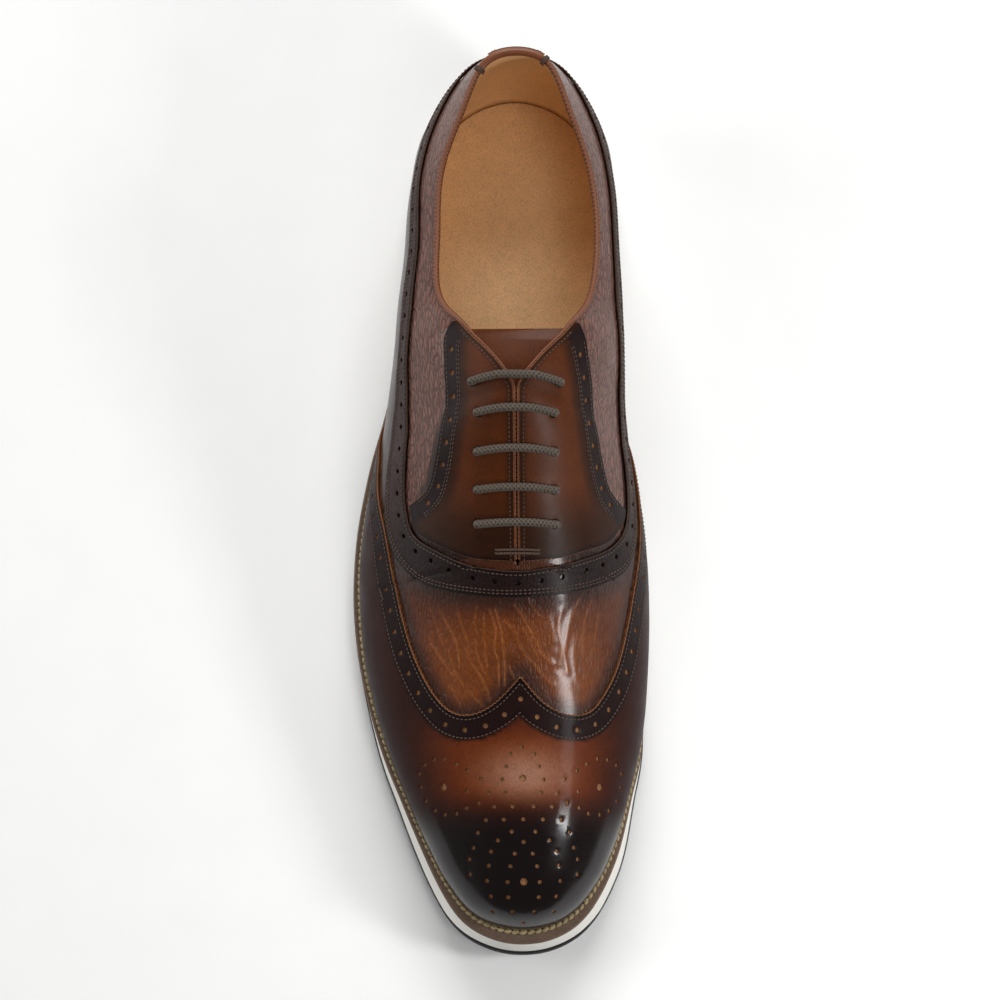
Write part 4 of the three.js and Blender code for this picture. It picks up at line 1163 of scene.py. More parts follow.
def sided(table, at, along):
    lateral, medial = np.interp(at, table[:, 0], table[:, 1]), np.interp(at, table[:, 0], table[:, 2])
    return lateral + (medial - lateral) * smooth(-0.4, 0.4, along * np.where(np.abs(along) > TIP - 1, 0, 1))


def shown_welt(at, along):
    edge = flare_margin(at, along) + SOLE["lip"]
    welt = welt_margin(at, along)
    return welt + (edge - welt) * sided(WELT_REACH, at, along)


def shown_white(at, along):
    edge = flare_margin(at, along) + SOLE["lip"] * (0.55 - 0.75 * smooth(0.96, 1.0, at))
    hidden = shown_welt(at, along) - 0.5
    return hidden + np.maximum(0, edge - hidden) * sided(WHITE_SHOWN, at, along)


def lip_margin(at, along):
    seen = 0.42 + 0.7 * smooth(0.95, 1.0, at)
    return np.minimum(shown_white(at, along) + seen, flare_margin(at, along) + SOLE["lip"])


def midsole_top(at):
    return seat_line(at) - SOLE["welt"]


def midsole_bottom(at):
    return ground_line(at) + SOLE["outsole"]


def between(one, two, share, extra=0.0):
    """A margin or level part of the way between two others."""
    def value(at, along=None):
        a, b = (one(at), two(at)) if along is None else (one(at, along), two(at, along))
        return a + (b - a) * share + extra
    return value


def ring_loft(name, rings, materials, hole=False):
    """Closed form from rings round the shoe. Lids close it at both ends, or it joins up round a hole."""
    along = loop_along()
    laid = [sole_ring(along, margin, level) for margin, level in rings]
    n = len(along)
    vertices = to_frame(np.concatenate(laid))
    faces = []
    for r in range(len(laid) if hole else len(laid) - 1):
        a, b = r * n, ((r + 1) % len(laid)) * n
        faces += [(a + i, a + (i + 1) % n, b + (i + 1) % n, b + i) for i in range(n)]
    if not hole:
        last = (len(laid) - 1) * n
        half = n // 2
        for base in (0, last):
            for i in range(half):
                strip = (base + i, base + i + 1, base + (n - i - 1) % n, base + (n - i) % n)
                faces.append(tuple(dict.fromkeys(strip)))
    obj = mesh_object(name, vertices, [f for f in faces if len(set(f)) > 2], materials, 35)
    clean_mesh(obj, merge=0.01)
    return obj


# Settings

COLOUR_DEFAULTS = {
    "vamp": (82, 36, 8), "vamp_glow": (116, 58, 14), "vamp_dark": (48, 24, 16), "vamp_crease": (184, 118, 68),
    "quarter": (50, 31, 29), "inset": (104, 70, 60), "under": (126, 84, 50), "cap": (46, 21, 15),
    "cap_glow": (96, 42, 17), "flank": (46, 29, 29), "toe": (14, 5, 5), "border": (29, 15, 14),
    "facing": (84, 40, 14), "haze": (152, 112, 94), "band": (50, 31, 29), "edge": (116, 70, 40),
    "binding": (112, 64, 38), "lining": (242, 202, 152), "welt": (104, 84, 70),
    "welt_thread": (168, 150, 112), "thread": (76, 56, 44), "hole": (138, 98, 64), "lace": (84, 74, 64),
    "midsole": (236, 233, 226), "outsole": (20, 20, 21), "floor": (250, 250, 249),
}
COLOUR_NAMES = tuple(COLOUR_DEFAULTS)


def colour_property(name):
    return FloatVectorProperty(name=name.replace("_", " ").title(), description=f"Colour of the {name}",
                               subtype="COLOR_GAMMA", size=3, min=0, max=1,
                               default=[c / 255 for c in COLOUR_DEFAULTS[name]])


class BrogueColours(bpy.types.PropertyGroup):
    """Colours of the leathers, threads and rubbers."""
    __annotations__ = {name: colour_property(name) for name in COLOUR_NAMES}


def size_property(name, description, default):
    return FloatProperty(name=name, description=description, default=default * MM, unit="LENGTH", min=0)


class BrogueSizes(bpy.types.PropertyGroup):
    """Sizes of holes, stitches and cords."""
    hole: size_property("Hole", "Radius of a hole in the punched rows", 0.88)
    hole_pitch: size_property("Hole pitch", "Distance between holes of a row", 7.6)
    pattern_small: size_property("Small hole", "Radius of the small holes on the toe", 0.72)
    pattern_big: size_property("Big hole", "Radius of the big holes on the toe", 1.25)
    eyelet: size_property("Eyelet", "Radius of an eyelet", 1.75)
    stitch_pitch: size_property("Stitch pitch", "Distance between fine stitches", 1.5)
    stitch_length: size_property("Stitch", "Length of a fine stitch", 1.15)
    thread: size_property("Thread", "Radius of the fine thread", 0.27)
    pink_pitch: size_property("Tooth pitch", "Distance between the teeth of a pinked edge", 1.5)
    pink_depth: size_property("Tooth depth", "Depth of the teeth of a pinked edge", 0.32)
    welt_pitch: size_property("Welt stitch pitch", "Distance between the welt's stitches", 2.5)
    lace: size_property("Lace", "Diameter of the lace", 2.8)
    binding: size_property("Binding", "Radius of the piping on the collar", 1.1)
    mesh: size_property("Mesh", "Distance between the points of a panel", 1.5)


def sizes():
    """The settings in millimetres."""
    group = bpy.context.scene.brogue_sizes
    return {name: getattr(group, name) / MM for name in BrogueSizes.__annotations__}


# Pieces

class BROGUE_OT_upper(bpy.types.Operator):
    """Vamp, quarters and side insets in one grained shell, and the lining inside it"""
    bl_idname = "brogue.upper"
    bl_label = "Upper and lining"

    def shell(self, name, columns, rows, out, thickness, materials):
        deselect()
        bpy.ops.mesh.primitive_grid_add(x_subdivisions=columns, y_subdivisions=rows, size=2)
        obj = bpy.context.active_object
        obj.name = name
        co = places(obj)
        share, v = co[:, 0], np.interp((co[:, 1] + 1) / 2, SHELL_ROW, SHELL_HEIGHT)
        along = np.sign(share) * np.interp(np.abs(share), SHELL_SHARE, SHELL_STATION)
        plan = np.stack((np.sign(along) * (1 - v), np.abs(along)), 1)
        rise, shown = vamp_creases(plan) if out == 0 else (np.full(len(v), float(out)), None)
        points = skin(along, v, rise) - slit_trim(along, v)
        obj.data.vertices.foreach_set("co", to_frame(points).ravel())
        for material in materials:
            obj.data.materials.append(material)
        if out == 0:
            paint(obj, "tone", blend(base_tones(plan), colours_of("vamp_crease")[0], shown))
            side, u = np.abs(plan[:, 0]), plan[:, 1]
            amount = np.where((u < 8.0) & (side < inset_depth(u) + 0.02), INSET_GRAIN, QUARTER_GRAIN)
            amount[under_facing(side, u)] = HIDDEN_GRAIN
            amount = np.where(u > 8.0, VAMP_GRAIN * smooth(0.9, 0.6, side), amount)
            add_layer(obj, "grain", amount)
        cut = bmesh.new()
        cut.from_mesh(obj.data)
        cut.faces.ensure_lookup_table()
        gone = []
        eyes = [to_frame(SIDES[side].lay(np.array([p]), 0))[0] for side in (-1, 1) for p in eyelets(side)]
        for face in cut.faces:
            middle = face.calc_center_median()
            if any((middle - Vector(eye)).length < EYE_OPENING * MM for eye in eyes):
                gone.append(face)
        bmesh.ops.delete(cut, geom=gone, context="FACES")
        bmesh.ops.remove_doubles(cut, verts=cut.verts, dist=0.01 * MM)
        cut.to_mesh(obj.data)
        cut.free()
        clean_mesh(obj)
        outward_test(obj)
        bpy.ops.object.shade_smooth_by_angle(angle=math.radians(60))
        apply_modifier(obj, "SOLIDIFY", thickness=thickness * MM, offset=-1, use_even_offset=False)
        return obj

    def execute(self, context):
        upper = self.shell("vamp_and_quarters", 380, 124, 0.0, 1.15, [finish("grained")])
        dress(upper, "grained_leather", "upper")
        lining = self.shell("lining", 220, 36, -1.25, 0.75, [finish("lining")])
        dress(lining, "insole_leather")
        return {"FINISHED"}


def slit_trim(along, v):
    """Keeps the two slit edges from touching each other."""
    u = np.abs(along)
    near = (u > SLIT_FROM) & (u < SLIT_END) & (v > 0.999)
    move = np.zeros((len(along), 3))
    move[:, 0] = np.where(near, -np.sign(along) * SLIT_EASE, 0)
    return move


# How strongly the grain shows: side insets, quarters, under the facings, vamp
INSET_GRAIN, QUARTER_GRAIN, HIDDEN_GRAIN, VAMP_GRAIN = 1.0, 0.12, 0.05, 0.3
# Radius in millimetres of the shell's opening under an eyelet, and the gap kept between the slit's edges
EYE_OPENING, SLIT_EASE = 2.7, 0.05

# How the shell's columns and rows are shared out: close together over the vamp
SHELL_SHARE = (0, 0.32, 0.82, 1.0)
SHELL_STATION = (0, 8.3, 11.0, TIP)
SHELL_ROW = (0, 0.2, 1.0)
SHELL_HEIGHT = (0, 0.35, 1.0)

# Creases of the vamp, each a line on the map, as (depth in millimetres, points)
VAMP_CREASES = (
    (0.22, ((-0.36, 9.35), (-0.32, 9.6), (-0.30, 9.72), (-0.285, 9.9), (-0.28, 10.12))),
    (0.16, ((-0.155, 9.45), (-0.16, 9.75), (-0.155, 9.98), (-0.15, 10.15))),
    (0.24, ((-0.13, 9.4), (-0.105, 9.68), (-0.115, 9.9), (-0.10, 10.1), (-0.10, 10.42))),
    (0.24, ((-0.105, 9.4), (-0.08, 9.7), (-0.075, 9.92), (-0.07, 10.2), (-0.075, 10.42))),
    (0.20, ((-0.07, 9.55), (-0.02, 9.7), (0.0, 9.88), (0.03, 10.02), (0.07, 10.12))),
    (0.22, ((-0.02, 9.35), (0.04, 9.6), (0.08, 9.8), (0.12, 10.0), (0.17, 10.12))),
    (0.18, ((0.05, 9.25), (0.08, 9.4), (0.13, 9.52))),
    (0.20, ((-0.43, 9.68), (-0.39, 9.9), (-0.35, 10.1), (-0.30, 10.3))),
    (0.20, ((-0.25, 9.88), (-0.22, 10.1), (-0.18, 10.3), (-0.155, 10.48), (-0.145, 10.62))),
    (0.16, ((-0.34, 10.38), (-0.31, 10.52), (-0.29, 10.68))),
    (0.16, ((-0.25, 10.45), (-0.21, 10.58), (-0.18, 10.7))),
    (0.22, ((0.32, 9.2), (0.28, 9.42), (0.25, 9.7), (0.235, 9.98), (0.25, 10.22))),
    (0.22, ((0.22, 9.4), (0.20, 9.62), (0.22, 9.88), (0.205, 10.12))),
    (0.18, ((0.39, 9.2), (0.355, 9.42), (0.335, 9.7), (0.34, 10.0))),
    (0.16, ((-0.20, 9.78), (-0.195, 9.98), (-0.175, 10.15), (-0.15, 10.32))),
    (0.16, ((0.15, 9.48), (0.17, 9.66), (0.185, 9.82))),
    (0.16, ((-0.275, 9.4), (-0.25, 9.68), (-0.22, 9.95))),
    (0.14, ((-0.41, 9.3), (-0.385, 9.52), (-0.355, 9.8))),
    (0.16, ((0.43, 9.35), (0.41, 9.68), (0.38, 10.02))),
    (0.18, ((-0.05, 10.15), (-0.04, 10.25), (-0.02, 10.35))),
    (0.16, ((0.08, 10.15), (0.12, 10.28), (0.17, 10.4))),
    (0.14, ((0.30, 9.75), (0.29, 9.98), (0.30, 10.22), (0.33, 10.42))),
    (0.14, ((-0.33, 9.9), (-0.31, 10.15), (-0.27, 10.38))),
    (0.14, ((0.02, 9.65), (0.07, 9.9), (0.10, 10.08))),
    (0.14, ((-0.19, 9.35), (-0.20, 9.55), (-0.19, 9.7))),
)
# Width of a crease's ridge, share of its listed depth that is built, width and strength of its pale line
CREASE_WIDTH, CREASE_DEPTH, LINE_WIDTH, LINE_STRENGTH = 0.9, 0.45, 0.3, 2.3
# The shell's slow waves between the band and the wing, in millimetres
WAVE = 0.1
# Where the toe's wax polish begins and is full, in millimetres from the heel, and how much the wings get
POLISH_FROM_TO, POLISH_LEAST = (-255.0, -270.0), 0.04

# The heel tab's two ends, as stations round the heel, and its tacks in millimetres
TAB_STATIONS = (-1.15, 0.85)
TACK_THREAD, TACK_WIDE, TACK_HIGH, TACK_STRANDS = 0.26, 1.75, 1.6, (-0.45, 0, 0.45)


def vamp_creases(plan):
    """Rise of the folded vamp leather and how far each crease shows, for points on the map."""
    rise, shown = np.zeros(len(plan)), np.zeros(len(plan))
    near = np.where((plan[:, 1] > 8.6) & (plan[:, 1] < 11) & (np.abs(plan[:, 0]) < 0.62))[0]
    real = WHOLE.lay(plan[near], 0)
    for depth, line in VAMP_CREASES:
        track = WHOLE.walk(curve(line), 0.4)
        away = distances(real, tree_of(WHOLE.lay(track, 0)))
        ridge, trough = np.exp(-(away / CREASE_WIDTH) ** 2), np.exp(-((away - 1.9) / 1.2) ** 2)
        rise[near] += CREASE_DEPTH * depth * (0.5 * ridge - 0.25 * trough)
        shown[near] = np.maximum(shown[near], depth * LINE_STRENGTH * np.exp(-(away / LINE_WIDTH) ** 2))
    x, y = WHOLE.lay(plan, 0)[:, 0], WHOLE.lay(plan, 0)[:, 1]
    front = smooth(-150, -172, y) * smooth(-262, -235, y)
    slow = np.sin(x * 0.21 + y * 0.09) * np.sin(y * 0.17 - x * 0.05) + 0.5 * np.sin(y * 0.31 + x * 0.12)
    return rise + front * WAVE * slow, shown


def places(obj):
    co = np.zeros(len(obj.data.vertices) * 3)
    obj.data.vertices.foreach_get("co", co)
    return co.reshape(-1, 3)


def outward_test(obj):
    """Turns a shell whose faces look inwards."""
    mesh = obj.data
    middle = sum((v.co for v in mesh.vertices), Vector()) / len(mesh.vertices)
    score = sum((f.center - middle).dot(f.normal) * f.area for f in mesh.polygons)
    if score < 0:
        mesh.flip_normals()


class BROGUE_OT_cap(bpy.types.Operator):
    """Wing cap with its pinked edge, hole row, toe pattern and seams"""
    bl_idname = "brogue.cap"
    bl_label = "Wing cap"

    def polish(self, cap):
        """How far each point is waxed to a shine: all of it at the toe, little on the wings."""
        y = (places(cap)[:, 1] - PLACE[1]) / MM
        return POLISH_LEAST + (1 - POLISH_LEAST) * smooth(*POLISH_FROM_TO, y)

    def execute(self, context):
        size = sizes()
        lateral, medial = wing_line()
        line = np.concatenate((lateral[:-1], medial))
        upper_edge = pinked(WHOLE, line, size["pink_pitch"], size["pink_depth"])
        right = WHOLE.walk(np.stack((np.full(60, 1.0), np.linspace(6.0, TIP, 60)), 1), 1.5)
        left = WHOLE.walk(np.stack((np.full(60, -1.0), np.linspace(TIP, 6.0, 60)), 1), 1.5)
        outline = ladder(upper_edge, right[:-1], left[1:])
        holes = hole_pairs(line, -5.0, size["hole_pitch"], size["hole"])
        for group, radius in ((PATTERN_BIG, size["pattern_big"]), (PATTERN_SMALL, size["pattern_small"])):
            for across, u in group:
                for side in ((1,) if across == 0 else (-1, 1)):
                    holes.append(((share_at(u, across, side), u), radius))
        holes = [h for h in holes if abs(h[0][0]) < 0.93]
        cap = panel("wing_cap_leather", WHOLE, outline, [finish("cap"), finish("raw")], cap_tones, holes,
                    spacing=size["mesh"])
        add_layer(cap, "polish", self.polish(cap))
        dress(cap, "cap_leather", "wing_cap")
        hole_bottoms("cap_hole_bottoms", [(WHOLE, *hole) for hole in holes], "cap_leather")
        stitches("cap_seams", seam_rows(size, line, -1.4, -8.0), finish("thread"), "lace_cord")
        return {"FINISHED"}


class BROGUE_OT_band(bpy.types.Operator):
    """Punched band from the heel along the sides and round below the lacing"""
    bl_idname = "brogue.band"
    bl_label = "Side and throat band"

    def execute(self, context):
        size = sizes()
        upper, lower = curve(BAND_UPPER), curve(BAND_LOWER)
        top_edge = WHOLE.walk(upper, 1.2)
        low_edge = pinked(WHOLE, lower, size["pink_pitch"], size["pink_depth"])
        outline = ladder(top_edge, np.array((upper[-1], lower[0])), low_edge, np.array((lower[-1], upper[0])))
        holes = hole_pairs(upper, -4.1, size["hole_pitch"], size["hole"])
        band = panel("side_band", WHOLE, outline, [finish("band"), finish("dark_raw")], band_tones, holes,
                     spacing=size["mesh"])
        dress(band, "band_leather", "vamp_band")
        rows = seam_rows(size, upper, -1.4) + seam_rows(size, lower[::-1], 1.2, 2.3)
        stitches("band_seams", rows, finish("thread"), "lace_cord")
        return {"FINISHED"}


class BROGUE_OT_facings(bpy.types.Operator):
    """The two facings with eyelets, punched border and seams"""
    bl_idname = "brogue.facings"
    bl_label = "Facings"

    def execute(self, context):
        size = sizes()
        rows, bottoms = [], []
        for side, name in ((-1, "facing_lateral"), (1, "facing_medial")):
            chart = SIDES[side]
            outer, foot = curve(FACING_OUTER[side]), curve(FACING_FOOT[side])
            slit = np.stack((np.zeros(80), np.linspace(foot[-1][1], outer[0][1], 80)), 1)
            top = np.array((slit[-1], outer[0]))
            outline = ladder(chart.walk(outer, 1.2), chart.walk(foot, 1.2), chart.walk(slit, 1.2), top)
            inward = -side
            line = outer[6:-4]
            holes = hole_row(chart, line, 3.6 * inward, size["hole_pitch"], size["hole"])
            holes = [h for h in holes if abs(h[0][0]) > 0.04]
            bottoms += [(chart, *hole) for hole in holes]
            holes += [(point, size["eyelet"]) for point in eyelets(side)]
            facing = panel(name + "_leather", chart, outline, [finish("facing"), finish("raw")], facing_tones,
                           holes, spacing=size["mesh"])
            dress(facing, "facing_leather", name)
            for part, offset in ((line, 1.3), (line, 5.9), (line, 6.8), (slit[:-4], 1.5)):
                walked = chart.shift(chart.walk(part, 1.0), offset * inward)
                rows.append(seam(size, chart, walked, OVERLAY + SIDE_SEAM_RISE))
        hole_bottoms("facing_hole_bottoms", bottoms, "facing_leather")
        stitches("facing_seams", rows, finish("thread"), "lace_cord")
        return {"FINISHED"}


class BROGUE_OT_backstay(bpy.types.Operator):
    """Strip over the heel seam"""
    bl_idname = "brogue.backstay"
    bl_label = "Backstay"

    def execute(self, context):
        size = sizes()
        right = curve(BACKSTAY_EDGE)
        left = right[::-1] * (-1, 1)
        outline = ladder(HEEL.walk(right, 1.2), np.array((right[-1], left[0])), HEEL.walk(left, 1.2),
                         np.array((left[-1], right[0])))
        strip = panel("heel_strip", HEEL, outline, [finish("band"), finish("raw")], heel_tones,
                      spacing=size["mesh"])
        dress(strip, "band_leather", "backstay")
        rows = []
        for line in (right, left):
            for offset in (1.7, 2.6):
                walked = HEEL.shift(HEEL.walk(line, 1.0), offset)
                rows.append(seam(size, HEEL, walked, OVERLAY + SIDE_SEAM_RISE))
        stitches("backstay_seams", rows, finish("thread"), "lace_cord")
        return {"FINISHED"}


class BROGUE_OT_tongue(bpy.types.Operator):
    """Tongue under the facings, with a seam along its top edge"""
    bl_idname = "brogue.tongue"
    bl_label = "Tongue"

    def execute(self, context):
        top = ((-TONGUE_SIDE, TONGUE_TOP), (0, TONGUE_TOP - 0.05), (TONGUE_SIDE, TONGUE_TOP))
        low = TONGUE_SIDE * TONGUE_TAPER
        foot = ((low, TONGUE_FOOT), (-low, TONGUE_FOOT))
        outline = ladder(curve(top, 30), (top[-1], foot[0]), foot, (foot[1], top[0]))
        depth = -UPPER_WALL - TONGUE_EASE
        dark = colours_of("facing")[0]

        def tones(chart, points, edge):
            return blend(spread(dark, points), dark * 0.6, smooth(6.6, 7.4, points[:, 1]))
        tongue = panel("tongue_leather", WHOLE, outline, [finish("tongue"), finish("raw")], tones, height=0.0,
                       spacing=2.0, base=depth, thickness=TONGUE_THICKNESS - 0.2, drop=0.3)
        dress(tongue, "tongue_leather", "tongue")
        size = sizes()
        line = WHOLE.shift(curve(top, 30), -3.4)
        stitches("tongue_seam", [seam(size, WHOLE, line, depth + 0.05)], finish("thread"), "lace_cord")
        return {"FINISHED"}


class BROGUE_OT_binding(bpy.types.Operator):
    """Piping along the collar and down the throat, with its tacks"""
    bl_idname = "brogue.binding"
    bl_label = "Collar piping"

    def execute(self, context):
        size = sizes()
        along = np.concatenate((np.linspace(-8.8, -SLIT_FROM, 60), np.linspace(-6.5, 6.5, 420),
                                np.linspace(SLIT_FROM, 8.8, 60)))
        u = np.abs(along)
        collar = smooth(6.4, 5.4, u)
        radius = 0.42 + (size["binding"] - 0.42) * collar
        depth = -0.15 * (1 - collar) - UPPER_WALL / 2 * collar
        path = skin(along, np.ones(len(along)), depth)
        path[:, 2] += 0.7 * (1 - collar) + 0.9 * collar
        path[:, 0] -= np.sign(along) * 0.15 * (1 - collar)
        piping = tube("collar_piping", path, radius, 10, [finish("binding")])
        dress(piping, "binding_leather", "topline_binding")
        self.heel_tab(path, along)
        return {"FINISHED"}

    def heel_tab(self, path, along):
        """A short loop of leather over the piping at the back, tacked down at both ends."""
        def at(station):
            return np.array([np.interp(station, along, column) for column in path.T]).T
        middle = at(np.linspace(*TAB_STATIONS, 40))
        ease = np.sin(np.linspace(0, math.pi, 40)) ** 0.25
        dress(tube("heel_tab", middle, 1.12 + 0.3 * ease, 12, [finish("tab")]), "binding_leather")
        for number, station in enumerate(TAB_STATIONS):
            turns = np.linspace(-0.6, math.pi + 0.6, 12)
            centre = at(station)
            ahead = at(station + 0.1) - centre
            ahead /= np.linalg.norm(ahead)
            across = np.cross((0, 0, 1.0), ahead)
            for strand in TACK_STRANDS:
                loop = centre + ahead * strand + np.outer(np.cos(turns), across) * TACK_WIDE \
                    + np.outer(np.sin(turns), (0, 0, 1.0)) * TACK_HIGH
                label = f"tab_tack_{number + 1}_{int(strand * 2) + 2}"
                dress(tube(label, loop, TACK_THREAD, 8, [finish("thread")], up=ahead), "lace_cord")


class BROGUE_OT_laces(bpy.types.Operator):
    """The five crossings of the round lace, down through the eyelets"""
    bl_idname = "brogue.laces"
    bl_label = "Laces"

    def across_ridge(self, chart, u, stops):
        """Points over the ridge at one station, from (millimetres from the ridge, height)."""
        line = np.array([(share_at(u, abs(x), -1 if x < 0 else 1), u) for x, _ in stops])
        return chart.lay(line, np.array([out for _, out in stops]))

    def execute(self, context):
        radius = sizes()["lace"] / 2
        lift = GAP + OVERLAY + 0.2 + radius
        # A lace's half from inside its eyelet to the ridge, as (millimetres from the ridge, height)
        stops = ((EYELET_SPREAD, -1.2), (EYELET_SPREAD, 0.2), (12.1, lift - 0.4), (11.0, lift), (8.0, lift),
                 (4.5, lift), (1.5, lift))
        for row, (_, u) in enumerate(eyelets(1)):
            left, right = (self.across_ridge(SIDES[side], u, [(side * x, out) for x, out in stops])
                           for side in (-1, 1))
            path = curve(np.concatenate((left, right[::-1])), 6)
            bar = tube(f"lace_crossing_{row + 1}", path, radius, 14, [finish("lace")], up=(0, 1.0, 0))
            dress(bar, "lace_cord", f"lace_bar_{row + 1}")
        half = ((6.6, -1.6), (6.5, 0.6), (5.6, 1.75), (3.0, 1.85))
        stops = [(-x, out) for x, out in half] + [(0, 1.9)] + list(half[::-1])
        for number, u in enumerate(SLIT_TACKS):
            path = curve(self.across_ridge(WHOLE, u, stops), 5)
            tack = tube(f"slit_tack_{number + 1}", path, 0.5, 8, [finish("tack")], up=(0, 1.0, 0))
            dress(tack, "lace_cord")
        return {"FINISHED"}


class BROGUE_OT_sole(bpy.types.Operator):
    """Welt with its stitches, midsole, outsole and insole"""
    bl_idname = "brogue.sole"
    bl_label = "Sole"

    def execute(self, context):
        size = sizes()
        inner = lambda at, along: np.full(len(at), -(UPPER_WALL + 0.4))
        top = between(seat_line, seat_line, 0, -GAP)
        welt = ring_loft("welt_strip", (
            (between(shown_welt, shown_welt, 0, -0.4), between(midsole_top, midsole_top, 0, 0.05)),
            (shown_welt, between(midsole_top, seat_line, 0.2)),
            (shown_welt, between(midsole_top, seat_line, 0.68)),
            (between(shown_welt, shown_welt, 0, -0.5), top),
            (inner, top),
            (inner, between(midsole_top, midsole_top, 0, 0.05)),
        ), [finish("welt")], hole=True)
        dress(welt, "welt_leather", "welt")
        midsole = ring_loft("midsole_foam", (
            (between(shown_white, shown_white, 0, -1.0), between(midsole_bottom, midsole_bottom, 0, 0.02)),
            (between(shown_white, shown_white, 0, -0.1), between(midsole_bottom, midsole_bottom, 0, 0.7)),
            (between(shown_white, shown_welt, 0.3, 0.0), between(midsole_bottom, midsole_top, 0.35)),
            (between(shown_white, shown_welt, 0.65, -0.1), between(midsole_bottom, midsole_top, 0.65)),
            (between(shown_welt, shown_welt, 0, -0.35), between(midsole_top, midsole_top, 0, -0.8)),
            (between(shown_welt, shown_welt, 0, -0.9), between(midsole_top, midsole_top, 0, -0.1)),
        ), [finish("foam")])
        dress(midsole, "white_foam", "midsole")
        outsole = ring_loft("outsole_rubber", (
            (between(lip_margin, lip_margin, 0, -0.8), ground_line),
            (lip_margin, between(ground_line, ground_line, 0, 0.8)),
            (lip_margin, between(midsole_bottom, midsole_bottom, 0, -0.9)),
            (between(lip_margin, lip_margin, 0, -0.5), between(midsole_bottom, midsole_bottom, 0, -0.05)),
        ), [finish("rubber")])
        dress(outsole, "black_rubber", "outsole")
        sock = between(midsole_top, midsole_top, 0, INSOLE_THICKNESS)
        insole = ring_loft("insole_sock", (
            (lambda at, along: np.full(len(at), -(UPPER_WALL + 0.1)), midsole_top),
            (lambda at, along: np.full(len(at), -(UPPER_WALL + 0.1)), between(sock, sock, 0, -0.25)),
            (lambda at, along: np.full(len(at), -(UPPER_WALL + 0.6)), sock),
        ), [finish("insole")])
        dress(insole, "insole_leather", "insole")
        self.welt_stitches(size)
        return {"FINISHED"}

    def welt_stitches(self, size):
        along = loop_along()
        line = sole_ring(along, shown_welt, seat_line)
        inner = skin(along, np.full(len(along), 0.06))
        inner[:, 2] = line[:, 2]
        gap = np.linalg.norm(line - inner, axis=1)[:, None]
        track = inner + (line - inner) * np.minimum(WELT_SHARE, WELT_INSET / np.maximum(gap, 0.1))
        track = np.concatenate((track, track[:1]))
        steps = run_of(track)
        stops = np.arange(0, steps[-1], size["welt_pitch"])
        centres = np.stack([np.interp(stops, steps, track[:, k]) for k in range(3)], 1)
        tangents = np.gradient(centres, axis=0)
        tangents /= np.linalg.norm(tangents, axis=1)[:, None]
        form, faces = bead()
        up = np.array((0, 0, 1.0))
        vertices, all_faces = [], []
        for i, (c, t) in enumerate(zip(centres, tangents)):
            across = np.cross(up, t)
            lean = t + across * WELT_LEAN
            lean /= np.linalg.norm(lean)
            placed = c + (form * WELT_BEAD) @ np.array((lean, np.cross(up, lean), up))
            vertices.append(to_frame(placed))
            all_faces += [tuple(k + i * len(form) for k in f) for f in faces]
        dress(mesh_object("welt_stitches", np.concatenate(vertices), all_faces, [finish("welt_thread")], 80),
              "lace_cord")


# Lights as (name, place, aim, width, height, watts, seen in the leather's reflections)
LIGHTS = (
    ("right", (0.35, -0.155, 0.32), (0.01, -0.09, 0.05), 0.08, 0.1, 0.85, True),
    ("near_camera", (0.30, -0.36, 1.28), (0, -0.08, 0.05), 0.4, 0.4, 2.6, False),
    ("left", (-1.3, 0.1, 0.6), (0, -0.05, 0.03), 0.6, 1.2, 6, True),
    ("behind", (0.0, 1.6, 1.35), (0, 0, 0), 1.4, 1.0, 35, True),
)
ROOM_LIGHT, FLOOR_SIZE = 0.17, 40
LENS, SENSOR = 102.42, 36.0
CAMERA_ELEVATION, CAMERA_DISTANCE, CAMERA_TARGET = 79.0, 1.0, (0.0, 0.0018, 0.030)


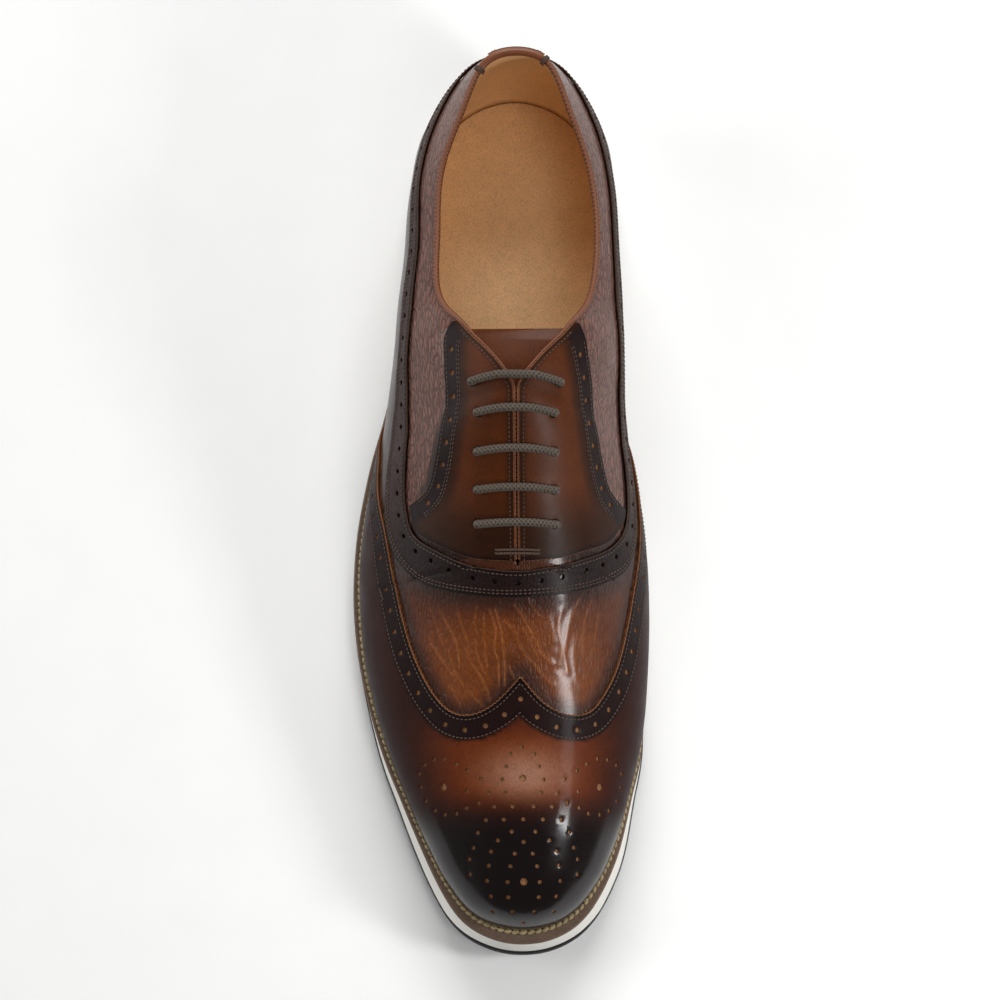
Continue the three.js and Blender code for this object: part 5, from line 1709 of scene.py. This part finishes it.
class BROGUE_OT_stage(bpy.types.Operator):
    """Floor, soft lights and camera"""
    bl_idname = "brogue.stage"
    bl_label = "Stage"

    def light(self, name, place, aim, width, height, power, mirrored):
        data = bpy.data.lights.new(name, "AREA")
        data.shape = "RECTANGLE"
        data.size, data.size_y = width, height
        data.energy = power
        obj = bpy.data.objects.new(name, data)
        obj.location = place
        obj.rotation_euler = (Vector(aim) - Vector(place)).to_track_quat("-Z", "Y").to_euler()
        obj.visible_glossy = mirrored
        bpy.context.scene.collection.objects.link(obj)

    def execute(self, context):
        deselect()
        bpy.ops.mesh.primitive_plane_add(size=FLOOR_SIZE)
        floor = context.active_object
        floor.name = "floor"
        floor.data.materials.append(finish("floor"))
        for values in LIGHTS:
            self.light(*values)
        world = bpy.data.worlds.new("soft_room")
        context.scene.world = world
        world.use_nodes = True
        world.node_tree.nodes["Background"].inputs["Color"].default_value = (1, 1, 1, 1)
        world.node_tree.nodes["Background"].inputs["Strength"].default_value = ROOM_LIGHT
        context.scene.view_settings.view_transform = "Standard"
        camera = bpy.data.cameras.new("camera")
        camera.lens, camera.sensor_width = LENS, SENSOR
        camera.clip_start = 0.05
        seat = bpy.data.objects.new("camera", camera)
        tilt = math.radians(CAMERA_ELEVATION)
        target = Vector(CAMERA_TARGET)
        seat.location = target + Vector((0, -math.cos(tilt), math.sin(tilt))) * CAMERA_DISTANCE
        seat.rotation_euler = (math.radians(90 - CAMERA_ELEVATION), 0, 0)
        context.scene.collection.objects.link(seat)
        context.scene.camera = seat
        return {"FINISHED"}


OPERATORS = (BROGUE_OT_upper, BROGUE_OT_cap, BROGUE_OT_band, BROGUE_OT_facings, BROGUE_OT_backstay,
             BROGUE_OT_tongue, BROGUE_OT_binding, BROGUE_OT_laces, BROGUE_OT_sole, BROGUE_OT_stage)


class BROGUE_PT_panel(bpy.types.Panel):
    """Lists the shoe's pieces"""
    bl_label = "Wing tip brogue"
    bl_space_type = "VIEW_3D"
    bl_region_type = "UI"
    bl_category = "Brogue"

    def draw(self, context):
        for operator in OPERATORS:
            self.layout.operator(operator.bl_idname)
        for group in (context.scene.brogue_sizes, context.scene.brogue_colours):
            for name in type(group).__annotations__:
                self.layout.prop(group, name)


CLASSES = (BrogueColours, BrogueSizes, *OPERATORS, BROGUE_PT_panel)


def register():
    for item in CLASSES:
        bpy.utils.register_class(item)
    bpy.types.Scene.brogue_colours = PointerProperty(type=BrogueColours)
    bpy.types.Scene.brogue_sizes = PointerProperty(type=BrogueSizes)


def unregister():
    del bpy.types.Scene.brogue_sizes
    del bpy.types.Scene.brogue_colours
    for item in reversed(CLASSES):
        bpy.utils.unregister_class(item)


def main():
    register()
    for operator in OPERATORS:
        getattr(bpy.ops.brogue, operator.bl_idname.split(".")[1])()


if __name__ == "__main__":
    main()
